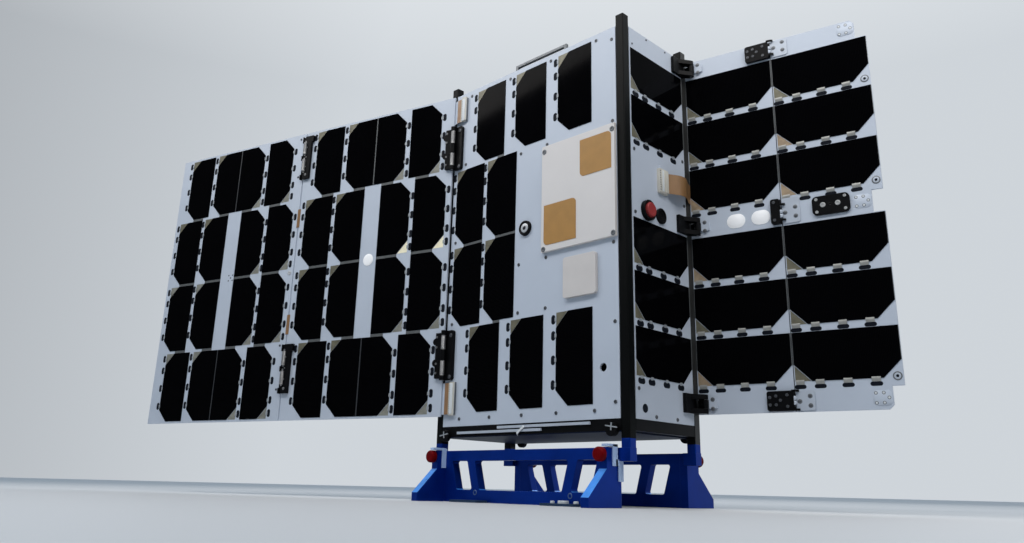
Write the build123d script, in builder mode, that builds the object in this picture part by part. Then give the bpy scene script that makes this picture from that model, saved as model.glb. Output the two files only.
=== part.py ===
from build123d import *
from math import cos, radians, sin
import os

# Small satellite with two folding solar wings, standing on its two-trestle cradle.
# Millimetres, +Z up. The origin is on the floor, midway between the cradle's four feet.
# The bus front looks to -Y, its narrow cell-covered side to +X. The wings are shown open.

os.makedirs("parts", exist_ok=True)

# Solar cells: one shape everywhere, two corners cut on one long side
CELL_LONG = 80.0
CELL_SHORT = CELL_LONG / 2
CELL_CORNER = 13.5
CELL_THICKNESS = 0.4

# Bus: a box of panels held between four corner rails; the front takes four rows of cells
BUS_WIDTH = 226.3
BUS_DEPTH = 100.0
RAIL_SIDE = 8.5
RAIL_EDGE_RADIUS = 1.0
RAIL_TIP = 10.3
PANEL_THICKNESS = 2.0
PANEL_FOOT = 15.2
PANEL_TOP_MARGIN = 4.9
PANEL_FOOT_MARGIN = 12.1
FRONT_ROW_GAP = 2.5
PANEL_HEIGHT = 4 * CELL_LONG + 3 * FRONT_ROW_GAP + PANEL_TOP_MARGIN + PANEL_FOOT_MARGIN
RAIL_LENGTH = PANEL_FOOT + PANEL_HEIGHT + RAIL_TIP
PANEL_RAIL_GAP = 0.2
END_FRAME_HEIGHT = 9.2
END_FRAME_BAR = 12.0
TOP_PLATE_THICKNESS = 2.0
UNDER_PLATE_THICKNESS = 1.0
UNDER_PLATE_MARGIN = 0.4
CORE_GAP = 8.0

# Cradle: two trestles, one under the front rails and one under the rear rails
FLOOR_TO_RAIL = 51.5
FRAME_PLATE = 8.0
FRAME_TOP = 44.5
FRAME_BAR = 9.0
FRAME_INSET = 19.15
FRAME_SETBACK = 4.0
FRAME_BASE_BAR = 10.5
BAY_RADIUS = 2.0
RIB_WIDTH = 9.5
RIB_TOP_SHARE = 0.633
RIB_FOOT_SHARE = 0.5585
END_RIB_TOP_INSET = 4.5
END_RIB_FOOT_INSET = 12.0
GUSSET_THICKNESS = 7.5
GUSSET_TOP_REACH = 13.8
GUSSET_FOOT_REACH = 35.8
GUSSET_SLOPE_TOP = 28.4
GUSSET_SLOPE_FOOT = 7.3
LUG_HEIGHT = 10.1
LUG_BITE = 1.0
KNOB_RADIUS = 5.5
KNOB_LENGTH = 5.0
KNOB_EDGE_RADIUS = 2.0
KNOB_STEM_RADIUS = 3.0
KNOB_STEM_LENGTH = 2.2
KNOB_HEIGHT = 39.0
FLANGE_THICKNESS = 2.0
FLANGE_LENGTH = 36.0
FLANGE_REACH = 14.0
FLANGE_RADIUS = 2.0
BASE_HOLE_X = 54.0
BASE_HOLE_RADIUS = 2.75

# Front cells: columns by the place of the cells' uncut edge, as shares of the bus width
FRONT_OUTER_EDGES = (-0.1427, 0.0990, 0.3416)
FRONT_INNER_EDGES = (-0.2620, -0.0645)

# Front fittings: centres as shares of the bus width and of the panel's height
PLATE_CENTRE = (0.2766, 0.5776)
PLATE_SIDE = 83.2
PLATE_HEIGHT = 101.7
PLATE_THICKNESS = 3.0
PATCH_THICKNESS = 0.3
PATCH_RADIUS = 4.5
PATCHES = ((0.252, 0.268, 34.5), (-0.236, -0.258, 37.5))
TILE_CENTRE = (0.2872, 0.3501)
TILE_SIDE = 36.0
TILE_THICKNESS = 3.0
TILE_RADIUS = 2.5
SENSOR_CENTRE = (-0.0044, 0.5118)
SENSOR_RADIUS = 7.0
SENSOR_DEPTH = 9.0
SENSOR_RISE = 1.5
BORE_GAP = 0.3
VENT_CENTRE = (0.3889, 0.1184)
VENT_RADIUS = 3.5
CONNECTOR_RISE = 3.0
CONNECTOR_RADIUS = 1.0
CONNECTOR_WIDTH = 6.5
CONNECTOR_X_SHARE = -0.403
CONNECTORS = ((0.9457, 27.0), (0.0749, 31.0))

# Fittings on the bottom and top frames
STRIP_HEIGHT = 2.2
STRIP_THICKNESS = 1.6
STRIP_LENGTH = 105.0
STRIPS = ((-0.1335, 3.1), (0.0988, 6.5))
BOSS_RADIUS = 5.3
BOSS_DEPTH = 4.0
BOSS_INSET = 15.35
BOSS_RISE = 0.7
BAR_SHARE = 0.0508
BAR_LENGTH = 66.0
BAR_THICKNESS = 2.5
BAR_WIDTH = 3.0
BAR_RISE = 7.5
BAR_SETBACK = 3.0

# Right side fittings: places across as shares of the depth. The ports lie in the middle band between
# the cells, with their height and radius as shares of that band, and the connector takes one cell's row
PORT_BAND_SHARE = 0.378
LARGE_PORT = (-0.20, 0.344, 3.0)
SMALL_PORT = (0.0, 0.267, 1.0)
CAP_SHARE = 0.70
CAP_RISE = 5.8
CAP_EDGE_RADIUS = 1.0
SIDE_VENT = (-0.29, 0.0255)
SIDE_CONNECTOR_SHARE = 0.02
SIDE_CONNECTOR_WIDTH = 8.0
SIDE_CONNECTOR_TALL = 0.55
EMPTY_ROW_INDEX = 2

# Left wing: two wide panels; the angle is from the bus front, turned towards the front
LEFT_ANGLE = 15.2
LEFT_PIN_INSET = 10.5
LEFT_PIN_REACH = 5.9
WING_THICKNESS = 2.0
WING_RISE = 9.6
WING_END_MARGIN = 2.3
LEFT_ROW_GAP = 3.0
LEFT_EDGE_MARGIN = 17.5
LEFT_OUTER_GAP = 1.5
LEFT_SLOT_GAP = 6.4
LEFT_BAND = 22.5
LEFT_INNER_SLOT_GAP = 5.2
LEFT_GAP = 2.0
ROOT_TRIM = 1.8
LEFT_WIDTH = 2 * LEFT_EDGE_MARGIN + 4 * CELL_SHORT + 2 * LEFT_SLOT_GAP + LEFT_OUTER_GAP
WING_HEIGHT = 4 * CELL_LONG + 3 * LEFT_ROW_GAP + 2 * WING_END_MARGIN

# Right wing: two narrow panels; the angle is from the bus front, turned towards the back
RIGHT_ANGLE = 11.1
RIGHT_PIN_REACH = 8.35
RIGHT_PIN_INSET = 4.0
RIGHT_ROOT_REACH = 7.2
SIDE_EDGE = 0.5
RIGHT_WIDTH = CELL_LONG + 2 * SIDE_EDGE
RIGHT_GAP = 0.8
SIDE_TOP_BAND = 18.7
SIDE_FOOT_BAND = 23.9
SIDE_ROW_GAP = 6.2
TIP_NOTCH = 8.8
TIP_CHAMFER = 3.5
TIP_NOTCH_MARGIN = 0.8
TIP_BAND_KEEP = 6.3
OVAL_PLATE_SIZE = (30.0, 16.5)
OVAL_PLATE_RADIUS = 4.0
OVAL_PLATE_THICKNESS = 2.0
OVAL_PLATE_OFFSET = (40.4, -1.0)

# Hinges: the root pins stand in front of the cells, the outer pins behind the panels
PIN_RISE = 3.5
PIN_RADIUS = 1.2
PIN_GAP = 0.05
LEAF_THICKNESS = 3.0
HINGE_PLAY = 0.4
KNUCKLE_GAP = 0.3
OUTER_PIN_DROP = 3.0
OUTER_KNUCKLE_RADIUS = 2.6
SPRING_RADIUS = 2.2
SPRING_LENGTH = 14.0

# Left root hinges: row of cells beside each and its centre as a share of that row
LEFT_ROOT_HINGES = ((0, 0.279), (3, 0.696))
LEFT_ROOT_TALL = 0.6 * CELL_LONG
BUS_LEAF_WIDTH = 12.0
BUS_LEAF_GAP = 0.5
BUS_LEAF_RADIUS = 2.5
WING_LEAF_REACH = 9.5
WING_LEAF_INSET = 2.0
LOBE_RADIUS = 3.5
LOBE_SETBACK = 0.4
LOBE_SHARES = (0.28, -0.15)
MIDDLE_KNUCKLE = 11.0

# Left outer hinges, in the same terms
LEFT_OUTER_HINGES = ((0, 0.6275), (3, 0.661))
LEFT_OUTER_TALL = 0.665 * CELL_LONG
LEFT_BLOCK_REACH = 9.5
LEFT_CAP_REACH = 12.0
LEFT_CAP_HEIGHT = 7.5
LEFT_TOE_HEIGHT = 6.0
LEFT_TOE_REACH = 1.8
LEFT_KNUCKLE = 6.0
LEFT_WEB_REACH = 5.2

# Right hinges at the top, middle and foot bands: rise of the hinge's centre over the band's middle and
# the hinge's height, both as shares of the band's height
RIGHT_ROOT_HINGES = ((0.024, 0.856), (-0.122, 0.611), (-0.150, 0.670))
RIGHT_OUTER_HINGES = ((0.021, 0.856), (0.0, 0.859), (-0.1255, 0.670))
BRACKET_WIDTH = 16.0
BRACKET_GAP = 0.5
BRACKET_ARM_SHARE = 0.25
BRACKET_NECK = 2.0
RIGHT_KNUCKLE_RADIUS = 2.6
RIGHT_LEAF_THICKNESS = 1.5
RIGHT_LEAF_REACH = 10.0
RIGHT_PLATE_REACH = 21.5
RIGHT_MIDDLE_REACH = 8.0
RIGHT_PLATE_RADIUS = 2.0
RIGHT_TAB_REACH = 15.0
RIGHT_TAB_THICKNESS = 0.8
RIGHT_KNUCKLE_SHARE = 0.19
RIGHT_WEB_REACH = 4.0
BLOCK_RADIUS = 0.4

# Levels and planes that follow from the sizes above
rail_foot_z = FLOOR_TO_RAIL
panel_foot_z = rail_foot_z + PANEL_FOOT
panel_top_z = panel_foot_z + PANEL_HEIGHT
panel_mid_z = panel_foot_z + PANEL_HEIGHT / 2
bottom_z = panel_foot_z - END_FRAME_HEIGHT
half_width = BUS_WIDTH / 2
half_depth = BUS_DEPTH / 2
rail_x = half_width - RAIL_SIDE / 2
rail_y = half_depth - RAIL_SIDE / 2
front_span = BUS_WIDTH - 2 * RAIL_SIDE - 2 * PANEL_RAIL_GAP
side_span = BUS_DEPTH - 2 * RAIL_SIDE - 2 * PANEL_RAIL_GAP
wing_foot_z = panel_foot_z + WING_RISE
wing_top_z = wing_foot_z + WING_HEIGHT
wing_mid_z = wing_foot_z + WING_HEIGHT / 2
bore_radius = PIN_RADIUS + PIN_GAP
left_knuckle_radius = LEFT_PIN_REACH - LEAF_THICKNESS - KNUCKLE_GAP

FRONT = Plane(origin=(0, -half_depth, 0), x_dir=(1, 0, 0), z_dir=(0, -1, 0))
BACK = Plane(origin=(0, half_depth, 0), x_dir=(-1, 0, 0), z_dir=(0, 1, 0))
RIGHT = Plane(origin=(half_width, 0, 0), x_dir=(0, 1, 0), z_dir=(1, 0, 0))
LEFT = Plane(origin=(-half_width, 0, 0), x_dir=(0, -1, 0), z_dir=(-1, 0, 0))


def wing_plane(pin, angle):
    """Plane through a root pin, x along the wing to the viewer's right, normal out of the cells."""
    turn = radians(angle)
    return Plane(origin=(pin[0], pin[1], 0), x_dir=(cos(turn), sin(turn), 0),
                 z_dir=(sin(turn), -cos(turn), 0))


left_pin = (-half_width + LEFT_PIN_INSET, -half_depth - LEFT_PIN_REACH)
right_pin = (half_width + RIGHT_PIN_REACH, half_depth - RIGHT_PIN_INSET)
LEFT_WING = wing_plane(left_pin, LEFT_ANGLE)
RIGHT_WING = wing_plane(right_pin, RIGHT_ANGLE)
cell_level = -PIN_RISE
back_level = cell_level - WING_THICKNESS
outer_pin_level = back_level - OUTER_PIN_DROP
left_outer_pin_s = -(LEFT_WIDTH + LEFT_GAP / 2)
left_outer_edge_s = -(LEFT_WIDTH + LEFT_GAP)
right_inner_edge_s = RIGHT_WIDTH - RIGHT_ROOT_REACH
right_outer_pin_s = right_inner_edge_s + RIGHT_GAP / 2
right_outer_edge_s = right_inner_edge_s + RIGHT_GAP


def finish(piece, label):
    piece.part.label = label
    export_step(piece.part, f"parts/{label}.step")


def on_front(width_share, height_share):
    """Point of the front face from shares of the bus width and of the panel's height."""
    return (width_share * BUS_WIDTH, panel_foot_z + height_share * PANEL_HEIGHT)


def on_side(depth_share, height_share):
    """Point of the right face from shares of the bus depth and of the panel's height."""
    return (depth_share * BUS_DEPTH, panel_foot_z + height_share * PANEL_HEIGHT)


def on_wing(plane, s, level):
    """Point of a wing plane as x and y: s along the wing, level out of the cells."""
    point = plane.from_local_coords((s, 0, level))
    return (point.X, point.Y)


def row_foot(row):
    """Foot height of a row of cells on the left wing, counted from the top."""
    return wing_mid_z + (1.5 - row) * (CELL_LONG + LEFT_ROW_GAP) - CELL_LONG / 2


def row_hinges(table, tall):
    """Foot and height of each left hinge."""
    return [(row_foot(row) + share * CELL_LONG - tall / 2, tall) for row, share in table]


# Tops of the lying cells: three rows down from the top band, three rows up from the foot band
side_pitch = CELL_SHORT + SIDE_ROW_GAP
upper_tops = [wing_top_z - SIDE_TOP_BAND - k * side_pitch for k in range(3)]
lower_tops = [wing_foot_z + SIDE_FOOT_BAND + CELL_SHORT + k * side_pitch for k in (2, 1, 0)]
side_cell_tops = upper_tops + lower_tops
side_bands = ((upper_tops[0], wing_top_z),
              (lower_tops[0], upper_tops[2] - CELL_SHORT),
              (wing_foot_z, lower_tops[2] - CELL_SHORT))


def band_hinges(table):
    """Foot and height of each right hinge."""
    found = []
    for (low, high), (rise, share) in zip(side_bands, table):
        middle = (low + high) / 2 + rise * (high - low)
        tall = share * (high - low)
        found.append((middle - tall / 2, tall))
    return found


left_root_hinges = row_hinges(LEFT_ROOT_HINGES, LEFT_ROOT_TALL)
left_outer_hinges = row_hinges(LEFT_OUTER_HINGES, LEFT_OUTER_TALL)
right_root_hinges = band_hinges(RIGHT_ROOT_HINGES)
right_outer_hinges = band_hinges(RIGHT_OUTER_HINGES)


def cell_outline(cut_side):
    """Upright cell round its centre; cut_side -1 cuts the left corners, +1 the right ones."""
    edge = CELL_SHORT / 2
    end = CELL_LONG / 2
    straight = -cut_side * edge
    cut = cut_side * edge
    inner = cut_side * (edge - CELL_CORNER)
    points = [(straight, -end), (inner, -end), (cut, CELL_CORNER - end),
              (cut, end - CELL_CORNER), (inner, end), (straight, end)]
    return points if cut_side > 0 else points[::-1]


def lying_outline():
    """Lying cell round its centre, with its lower corners cut."""
    return [(y, -x) for x, y in cell_outline(1)]


def front_cells():
    """Centre x and centre height of each cell on the bus front."""
    top = panel_top_z - PANEL_TOP_MARGIN
    rows = (FRONT_OUTER_EDGES, FRONT_INNER_EDGES, FRONT_INNER_EDGES, FRONT_OUTER_EDGES)
    for row, edges in enumerate(rows):
        for share in edges:
            height = top - row * (CELL_LONG + FRONT_ROW_GAP) - CELL_LONG / 2
            yield share * BUS_WIDTH - CELL_SHORT / 2, height


def left_wing_cells():
    """Centre distance from the panel's middle, centre height and cut side, for one wide panel."""
    for row in range(4):
        outer_row = row in (0, 3)
        middle = LEFT_OUTER_GAP if outer_row else LEFT_BAND
        slot_gap = LEFT_SLOT_GAP if outer_row else LEFT_INNER_SLOT_GAP
        height = row_foot(row) + CELL_LONG / 2
        for side in (-1, 1):
            near = side * (middle / 2 + CELL_SHORT / 2)
            yield near, height, side
            yield near + side * (CELL_SHORT + slot_gap), height, side


# Corner rails
with BuildPart() as rails:
    with BuildSketch(Plane.XY.offset(rail_foot_z)):
        with GridLocations(2 * rail_x, 2 * rail_y, 2, 2):
            RectangleRounded(RAIL_SIDE, RAIL_SIDE, RAIL_EDGE_RADIUS)
    extrude(amount=RAIL_LENGTH)
finish(rails, "rails")

# End frames: rings of bars between the rails, under and over the panels
with BuildPart() as bottom_frame:
    with BuildSketch(Plane.XY.offset(bottom_z)):
        Rectangle(BUS_WIDTH - 2 * PANEL_RAIL_GAP, BUS_DEPTH - 2 * PANEL_RAIL_GAP)
        Rectangle(BUS_WIDTH - 2 * END_FRAME_BAR, BUS_DEPTH - 2 * END_FRAME_BAR, mode=Mode.SUBTRACT)
        with GridLocations(2 * rail_x, 2 * rail_y, 2, 2):
            Rectangle(RAIL_SIDE, RAIL_SIDE, mode=Mode.SUBTRACT)
    extrude(amount=END_FRAME_HEIGHT)
finish(bottom_frame, "bottom_frame")

with BuildPart() as top_frame:
    with BuildSketch(Plane.XY.offset(panel_top_z - END_FRAME_HEIGHT)):
        Rectangle(BUS_WIDTH - 2 * PANEL_THICKNESS, BUS_DEPTH - 2 * PANEL_THICKNESS)
        Rectangle(BUS_WIDTH - 2 * END_FRAME_BAR, BUS_DEPTH - 2 * END_FRAME_BAR, mode=Mode.SUBTRACT)
        with GridLocations(2 * rail_x, 2 * rail_y, 2, 2):
            Rectangle(RAIL_SIDE, RAIL_SIDE, mode=Mode.SUBTRACT)
    extrude(amount=END_FRAME_HEIGHT)
finish(top_frame, "top_frame")

# Underside plate between the rails, and top plate set into the top frame's window
plate_width = BUS_WIDTH - 2 * END_FRAME_BAR
plate_depth = BUS_DEPTH - 2 * END_FRAME_BAR
with BuildPart() as bottom_plate:
    with BuildSketch(Plane.XY.offset(bottom_z - UNDER_PLATE_THICKNESS)):
        Rectangle(BUS_WIDTH - 2 * RAIL_SIDE - 2 * UNDER_PLATE_MARGIN, BUS_DEPTH - 2 * UNDER_PLATE_MARGIN)
    extrude(amount=UNDER_PLATE_THICKNESS)
finish(bottom_plate, "bottom_plate")

with BuildPart() as top_plate:
    with BuildSketch(Plane.XY.offset(panel_top_z - TOP_PLATE_THICKNESS)):
        Rectangle(plate_width, plate_depth)
    extrude(amount=TOP_PLATE_THICKNESS)
finish(top_plate, "top_plate")

# Panels
with BuildPart() as front_panel:
    with BuildSketch(FRONT):
        with Locations((0, panel_mid_z)):
            Rectangle(front_span, PANEL_HEIGHT)
        with Locations(on_front(*SENSOR_CENTRE)):
            Circle(SENSOR_RADIUS + BORE_GAP, mode=Mode.SUBTRACT)
        with Locations(on_front(*VENT_CENTRE)):
            Circle(VENT_RADIUS, mode=Mode.SUBTRACT)
    extrude(amount=-PANEL_THICKNESS)
finish(front_panel, "front_panel")

with BuildPart() as back_panel:
    with BuildSketch(BACK):
        with Locations((0, panel_mid_z)):
            Rectangle(front_span, PANEL_HEIGHT)
    extrude(amount=-PANEL_THICKNESS)
finish(back_panel, "back_panel")

with BuildPart() as right_panel:
    with BuildSketch(RIGHT):
        with Locations((0, panel_mid_z)):
            Rectangle(side_span, PANEL_HEIGHT)
        with Locations(on_side(*SIDE_VENT)):
            Circle(VENT_RADIUS, mode=Mode.SUBTRACT)
    extrude(amount=-PANEL_THICKNESS)
finish(right_panel, "right_panel")

with BuildPart() as left_panel:
    with BuildSketch(LEFT):
        with Locations((0, panel_mid_z)):
            Rectangle(side_span, PANEL_HEIGHT)
    extrude(amount=-PANEL_THICKNESS)
finish(left_panel, "left_panel")

# Avionics and battery stack, one plain block seated between the end plates
with BuildPart() as avionics_stack:
    with BuildSketch(Plane.XY.offset(bottom_z)):
        Rectangle(plate_width - 2 * CORE_GAP, plate_depth - 2 * CORE_GAP)
    extrude(amount=panel_top_z - TOP_PLATE_THICKNESS - bottom_z)
finish(avionics_stack, "avionics_stack")

# Cells of the bus
with BuildPart() as front_cell_set:
    with BuildSketch(FRONT):
        with Locations(*front_cells()):
            Polygon(*cell_outline(-1), align=None)
    extrude(amount=CELL_THICKNESS)
finish(front_cell_set, "front_cells")

with BuildPart() as right_cell_set:
    with BuildSketch(RIGHT):
        for index, top in enumerate(side_cell_tops):
            if index != EMPTY_ROW_INDEX:
                with Locations((0, top - CELL_SHORT / 2)):
                    Polygon(*lying_outline(), align=None)
    extrude(amount=CELL_THICKNESS)
finish(right_cell_set, "right_cells")

# Antenna plate with its two patches, each rounded at two opposite corners, and the small tile under it
plate_x, plate_z = on_front(*PLATE_CENTRE)
with BuildPart() as antenna_plate:
    with BuildSketch(FRONT):
        with Locations((plate_x, plate_z)):
            Rectangle(PLATE_SIDE, PLATE_HEIGHT)
    extrude(amount=PLATE_THICKNESS)
finish(antenna_plate, "antenna_plate")

with BuildPart() as antenna_patches:
    for across, rise, size in PATCHES:
        with BuildSketch(FRONT.offset(PLATE_THICKNESS)) as patch:
            with Locations((plate_x + across * PLATE_SIDE, plate_z + rise * PLATE_HEIGHT)):
                Rectangle(size, size)
            corners = sorted(patch.vertices(), key=lambda corner: corner.X + corner.Y)
            fillet([corners[0], corners[-1]], radius=PATCH_RADIUS)
        extrude(amount=PATCH_THICKNESS)
finish(antenna_patches, "antenna_patches")

with BuildPart() as antenna_tile:
    with BuildSketch(FRONT):
        with Locations(on_front(*TILE_CENTRE)):
            RectangleRounded(TILE_SIDE, TILE_SIDE, TILE_RADIUS)
    extrude(amount=TILE_THICKNESS)
finish(antenna_tile, "antenna_tile")

# Round sun sensor in the front panel
with BuildPart() as sun_sensor:
    with BuildSketch(FRONT.offset(SENSOR_RISE)):
        with Locations(on_front(*SENSOR_CENTRE)):
            Circle(SENSOR_RADIUS)
    extrude(amount=-SENSOR_DEPTH)
finish(sun_sensor, "sun_sensor")

# Ports in the right side's middle band, the larger one with a protective cap
band_low, band_high = side_bands[1]
band_tall = band_high - band_low
port_z = band_low + PORT_BAND_SHARE * band_tall
with BuildPart() as side_ports:
    for depth_share, radius_share, rise in (LARGE_PORT, SMALL_PORT):
        with BuildSketch(RIGHT):
            with Locations((depth_share * BUS_DEPTH, port_z)):
                Circle(radius_share * band_tall)
        extrude(amount=rise)
finish(side_ports, "side_ports")

port_share, port_radius_share, port_rise = LARGE_PORT
with BuildPart() as port_cap:
    with BuildSketch(RIGHT.offset(port_rise)):
        with Locations((port_share * BUS_DEPTH, port_z)):
            Circle(CAP_SHARE * port_radius_share * band_tall)
    extrude(amount=CAP_RISE - port_rise)
    fillet(port_cap.edges().filter_by(GeomType.CIRCLE).group_by(Axis.X)[-1], radius=CAP_EDGE_RADIUS)
finish(port_cap, "port_cap")

# Flat-cable connectors: two on the front, one on the right side
with BuildPart() as flat_connectors:
    with BuildSketch(FRONT):
        for height_share, tall in CONNECTORS:
            with Locations(on_front(CONNECTOR_X_SHARE, height_share)):
                RectangleRounded(CONNECTOR_WIDTH, tall, CONNECTOR_RADIUS)
    extrude(amount=CONNECTOR_RISE)
    with BuildSketch(RIGHT):
        row_middle = side_cell_tops[EMPTY_ROW_INDEX] - CELL_SHORT / 2
        with Locations((SIDE_CONNECTOR_SHARE * BUS_DEPTH, row_middle)):
            RectangleRounded(SIDE_CONNECTOR_WIDTH, SIDE_CONNECTOR_TALL * CELL_SHORT, CONNECTOR_RADIUS)
    extrude(amount=CONNECTOR_RISE)
finish(flat_connectors, "flat_connectors")

# Folded antenna strips across the bottom frame's front
with BuildPart() as antenna_strips:
    with BuildSketch(FRONT):
        for width_share, rise in STRIPS:
            with Locations((width_share * BUS_WIDTH, bottom_z + rise)):
                Rectangle(STRIP_LENGTH, STRIP_HEIGHT)
    extrude(amount=STRIP_THICKNESS)
finish(antenna_strips, "antenna_strips")

# Round bosses on the bottom frame, one beside each rail on the front and back
with BuildPart() as corner_bosses:
    for face in (FRONT, BACK):
        with BuildSketch(face):
            with GridLocations(2 * (half_width - BOSS_INSET), 0, 2, 1):
                with Locations((0, bottom_z + BOSS_RISE)):
                    Circle(BOSS_RADIUS)
        extrude(amount=BOSS_DEPTH)
finish(corner_bosses, "corner_bosses")

# Low bar over the top frame's front edge, with a leg at each end
bar_x = BAR_SHARE * BUS_WIDTH
with BuildPart() as top_bar:
    with BuildSketch(FRONT.offset(-BAR_SETBACK)):
        with Locations((bar_x, panel_top_z + BAR_RISE / 2)):
            Rectangle(BAR_LENGTH, BAR_RISE)
        with Locations((bar_x, panel_top_z + (BAR_RISE - BAR_THICKNESS) / 2)):
            Rectangle(BAR_LENGTH - 2 * BAR_WIDTH, BAR_RISE - BAR_THICKNESS, mode=Mode.SUBTRACT)
    extrude(amount=-BAR_WIDTH)
finish(top_bar, "top_bar")

# Left root hinge: leaves on the bus front, knuckles at both ends of each hinge
bus_leaf_x = -half_width + RAIL_SIDE + BUS_LEAF_GAP + BUS_LEAF_WIDTH / 2
end_knuckle = (LEFT_ROOT_TALL - 2 * SPRING_LENGTH - MIDDLE_KNUCKLE) / 2
web_depth = LEFT_PIN_REACH - LEAF_THICKNESS
with BuildPart() as left_root_leaves:
    for foot, tall in left_root_hinges:
        with BuildSketch(FRONT):
            with Locations((bus_leaf_x, foot + tall / 2)):
                RectangleRounded(BUS_LEAF_WIDTH, tall, BUS_LEAF_RADIUS)
        extrude(amount=LEAF_THICKNESS)
        for knuckle_foot in (foot, foot + tall - end_knuckle):
            with BuildSketch(Plane.XY.offset(knuckle_foot)):
                with Locations(left_pin):
                    Circle(left_knuckle_radius)
                with Locations((left_pin[0] + left_knuckle_radius / 2, left_pin[1] + web_depth / 2)):
                    Rectangle(left_knuckle_radius, web_depth)
                with Locations(left_pin):
                    Circle(bore_radius, mode=Mode.SUBTRACT)
            extrude(amount=end_knuckle)
finish(left_root_leaves, "left_root_leaves")

# Root hinge pins; the left ones carry two coil springs each
with BuildPart() as left_root_pins:
    for foot, tall in left_root_hinges:
        with BuildSketch(Plane.XY.offset(foot)):
            with Locations(left_pin):
                Circle(PIN_RADIUS)
        extrude(amount=tall)
        for spring_foot in (foot + end_knuckle, foot + tall - end_knuckle - SPRING_LENGTH):
            with BuildSketch(Plane.XY.offset(spring_foot + HINGE_PLAY / 2)):
                with Locations(left_pin):
                    Circle(SPRING_RADIUS)
            extrude(amount=SPRING_LENGTH - HINGE_PLAY)
finish(left_root_pins, "left_root_pins")

with BuildPart() as right_root_pins:
    for foot, tall in right_root_hinges:
        with BuildSketch(Plane.XY.offset(foot)):
            with Locations(right_pin):
                Circle(PIN_RADIUS)
        extrude(amount=tall)
finish(right_root_pins, "right_root_pins")


# Wide panels of the left wing; each is notched where its own outer knuckles pass through
def wide_panel(name, root_s, tip_s, notches):
    with BuildPart() as panel:
        with BuildSketch(LEFT_WING.offset(cell_level)):
            with Locations(((root_s + tip_s) / 2, wing_mid_z)):
                Rectangle(root_s - tip_s, WING_HEIGHT)
            for s, height, wide, tall in notches:
                with Locations((s, height)):
                    Rectangle(wide, tall, mode=Mode.SUBTRACT)
        extrude(amount=-WING_THICKNESS)
    finish(panel, name)


def wide_cells(name, edge_s):
    with BuildPart() as cells:
        with BuildSketch(LEFT_WING.offset(cell_level)):
            for offset, height, cut_side in left_wing_cells():
                with Locations((edge_s - LEFT_WIDTH / 2 + offset, height)):
                    Polygon(*cell_outline(cut_side), align=None)
        extrude(amount=CELL_THICKNESS)
    finish(cells, name)


def knuckle_notches(edge_s, side, reach, hinges, knuckles):
    """Centre s, centre height, width and height of the notch for each knuckle's web."""
    found = []
    for foot, tall in hinges:
        for start, length in knuckles(tall):
            wide = reach + HINGE_PLAY
            height = foot + start + length / 2
            found.append((edge_s + side * wide / 2, height, wide, length + 2 * HINGE_PLAY))
    return found


def left_end_knuckles(tall):
    return ((HINGE_PLAY, LEFT_KNUCKLE), (tall - LEFT_KNUCKLE - HINGE_PLAY, LEFT_KNUCKLE))


def left_middle_knuckle(tall):
    return (((tall - LEFT_KNUCKLE) / 2, LEFT_KNUCKLE),)


def right_end_knuckles(tall):
    knuckle = RIGHT_KNUCKLE_SHARE * tall
    return ((HINGE_PLAY, knuckle), (tall - knuckle - HINGE_PLAY, knuckle))


def right_middle_knuckle(tall):
    knuckle = RIGHT_KNUCKLE_SHARE * tall
    return ((knuckle + 2 * HINGE_PLAY, tall - 2 * knuckle - 4 * HINGE_PLAY),)


wide_panel("left_inner_panel", -ROOT_TRIM, -LEFT_WIDTH,
           knuckle_notches(-LEFT_WIDTH, 1, LEFT_WEB_REACH, left_outer_hinges, left_end_knuckles))
wide_cells("left_inner_cells", 0)
wide_panel("left_outer_panel", left_outer_edge_s, left_outer_edge_s - LEFT_WIDTH,
           knuckle_notches(left_outer_edge_s, -1, LEFT_TOE_REACH, left_outer_hinges, left_middle_knuckle))
wide_cells("left_outer_cells", left_outer_edge_s)

# Left root hinge, wing side: leaves with two round lobes and one middle knuckle each
leaf_root_s = -(left_knuckle_radius + HINGE_PLAY)
with BuildPart() as left_inner_leaves:
    for foot, tall in left_root_hinges:
        middle = foot + tall / 2
        with BuildSketch(LEFT_WING.offset(cell_level)):
            with Locations(((leaf_root_s - WING_LEAF_REACH) / 2, middle)):
                Rectangle(WING_LEAF_REACH + leaf_root_s, tall - 2 * WING_LEAF_INSET)
            for share in LOBE_SHARES:
                with Locations((LOBE_SETBACK - WING_LEAF_REACH, middle + share * tall)):
                    Circle(LOBE_RADIUS)
        extrude(amount=LEAF_THICKNESS)
        with BuildSketch(LEFT_WING.offset(-left_knuckle_radius)):
            with Locations((leaf_root_s, middle)):
                Rectangle(-2 * leaf_root_s, MIDDLE_KNUCKLE - HINGE_PLAY)
        extrude(amount=left_knuckle_radius)
        knuckle_foot = middle - (MIDDLE_KNUCKLE - HINGE_PLAY) / 2
        with BuildSketch(Plane.XY.offset(knuckle_foot)):
            with Locations(left_pin):
                Circle(left_knuckle_radius)
        extrude(amount=MIDDLE_KNUCKLE - HINGE_PLAY)
        with BuildSketch(Plane.XY.offset(knuckle_foot)):
            with Locations(left_pin):
                Circle(bore_radius)
        extrude(amount=MIDDLE_KNUCKLE - HINGE_PLAY, mode=Mode.SUBTRACT)
finish(left_inner_leaves, "left_inner_leaves")


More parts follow.
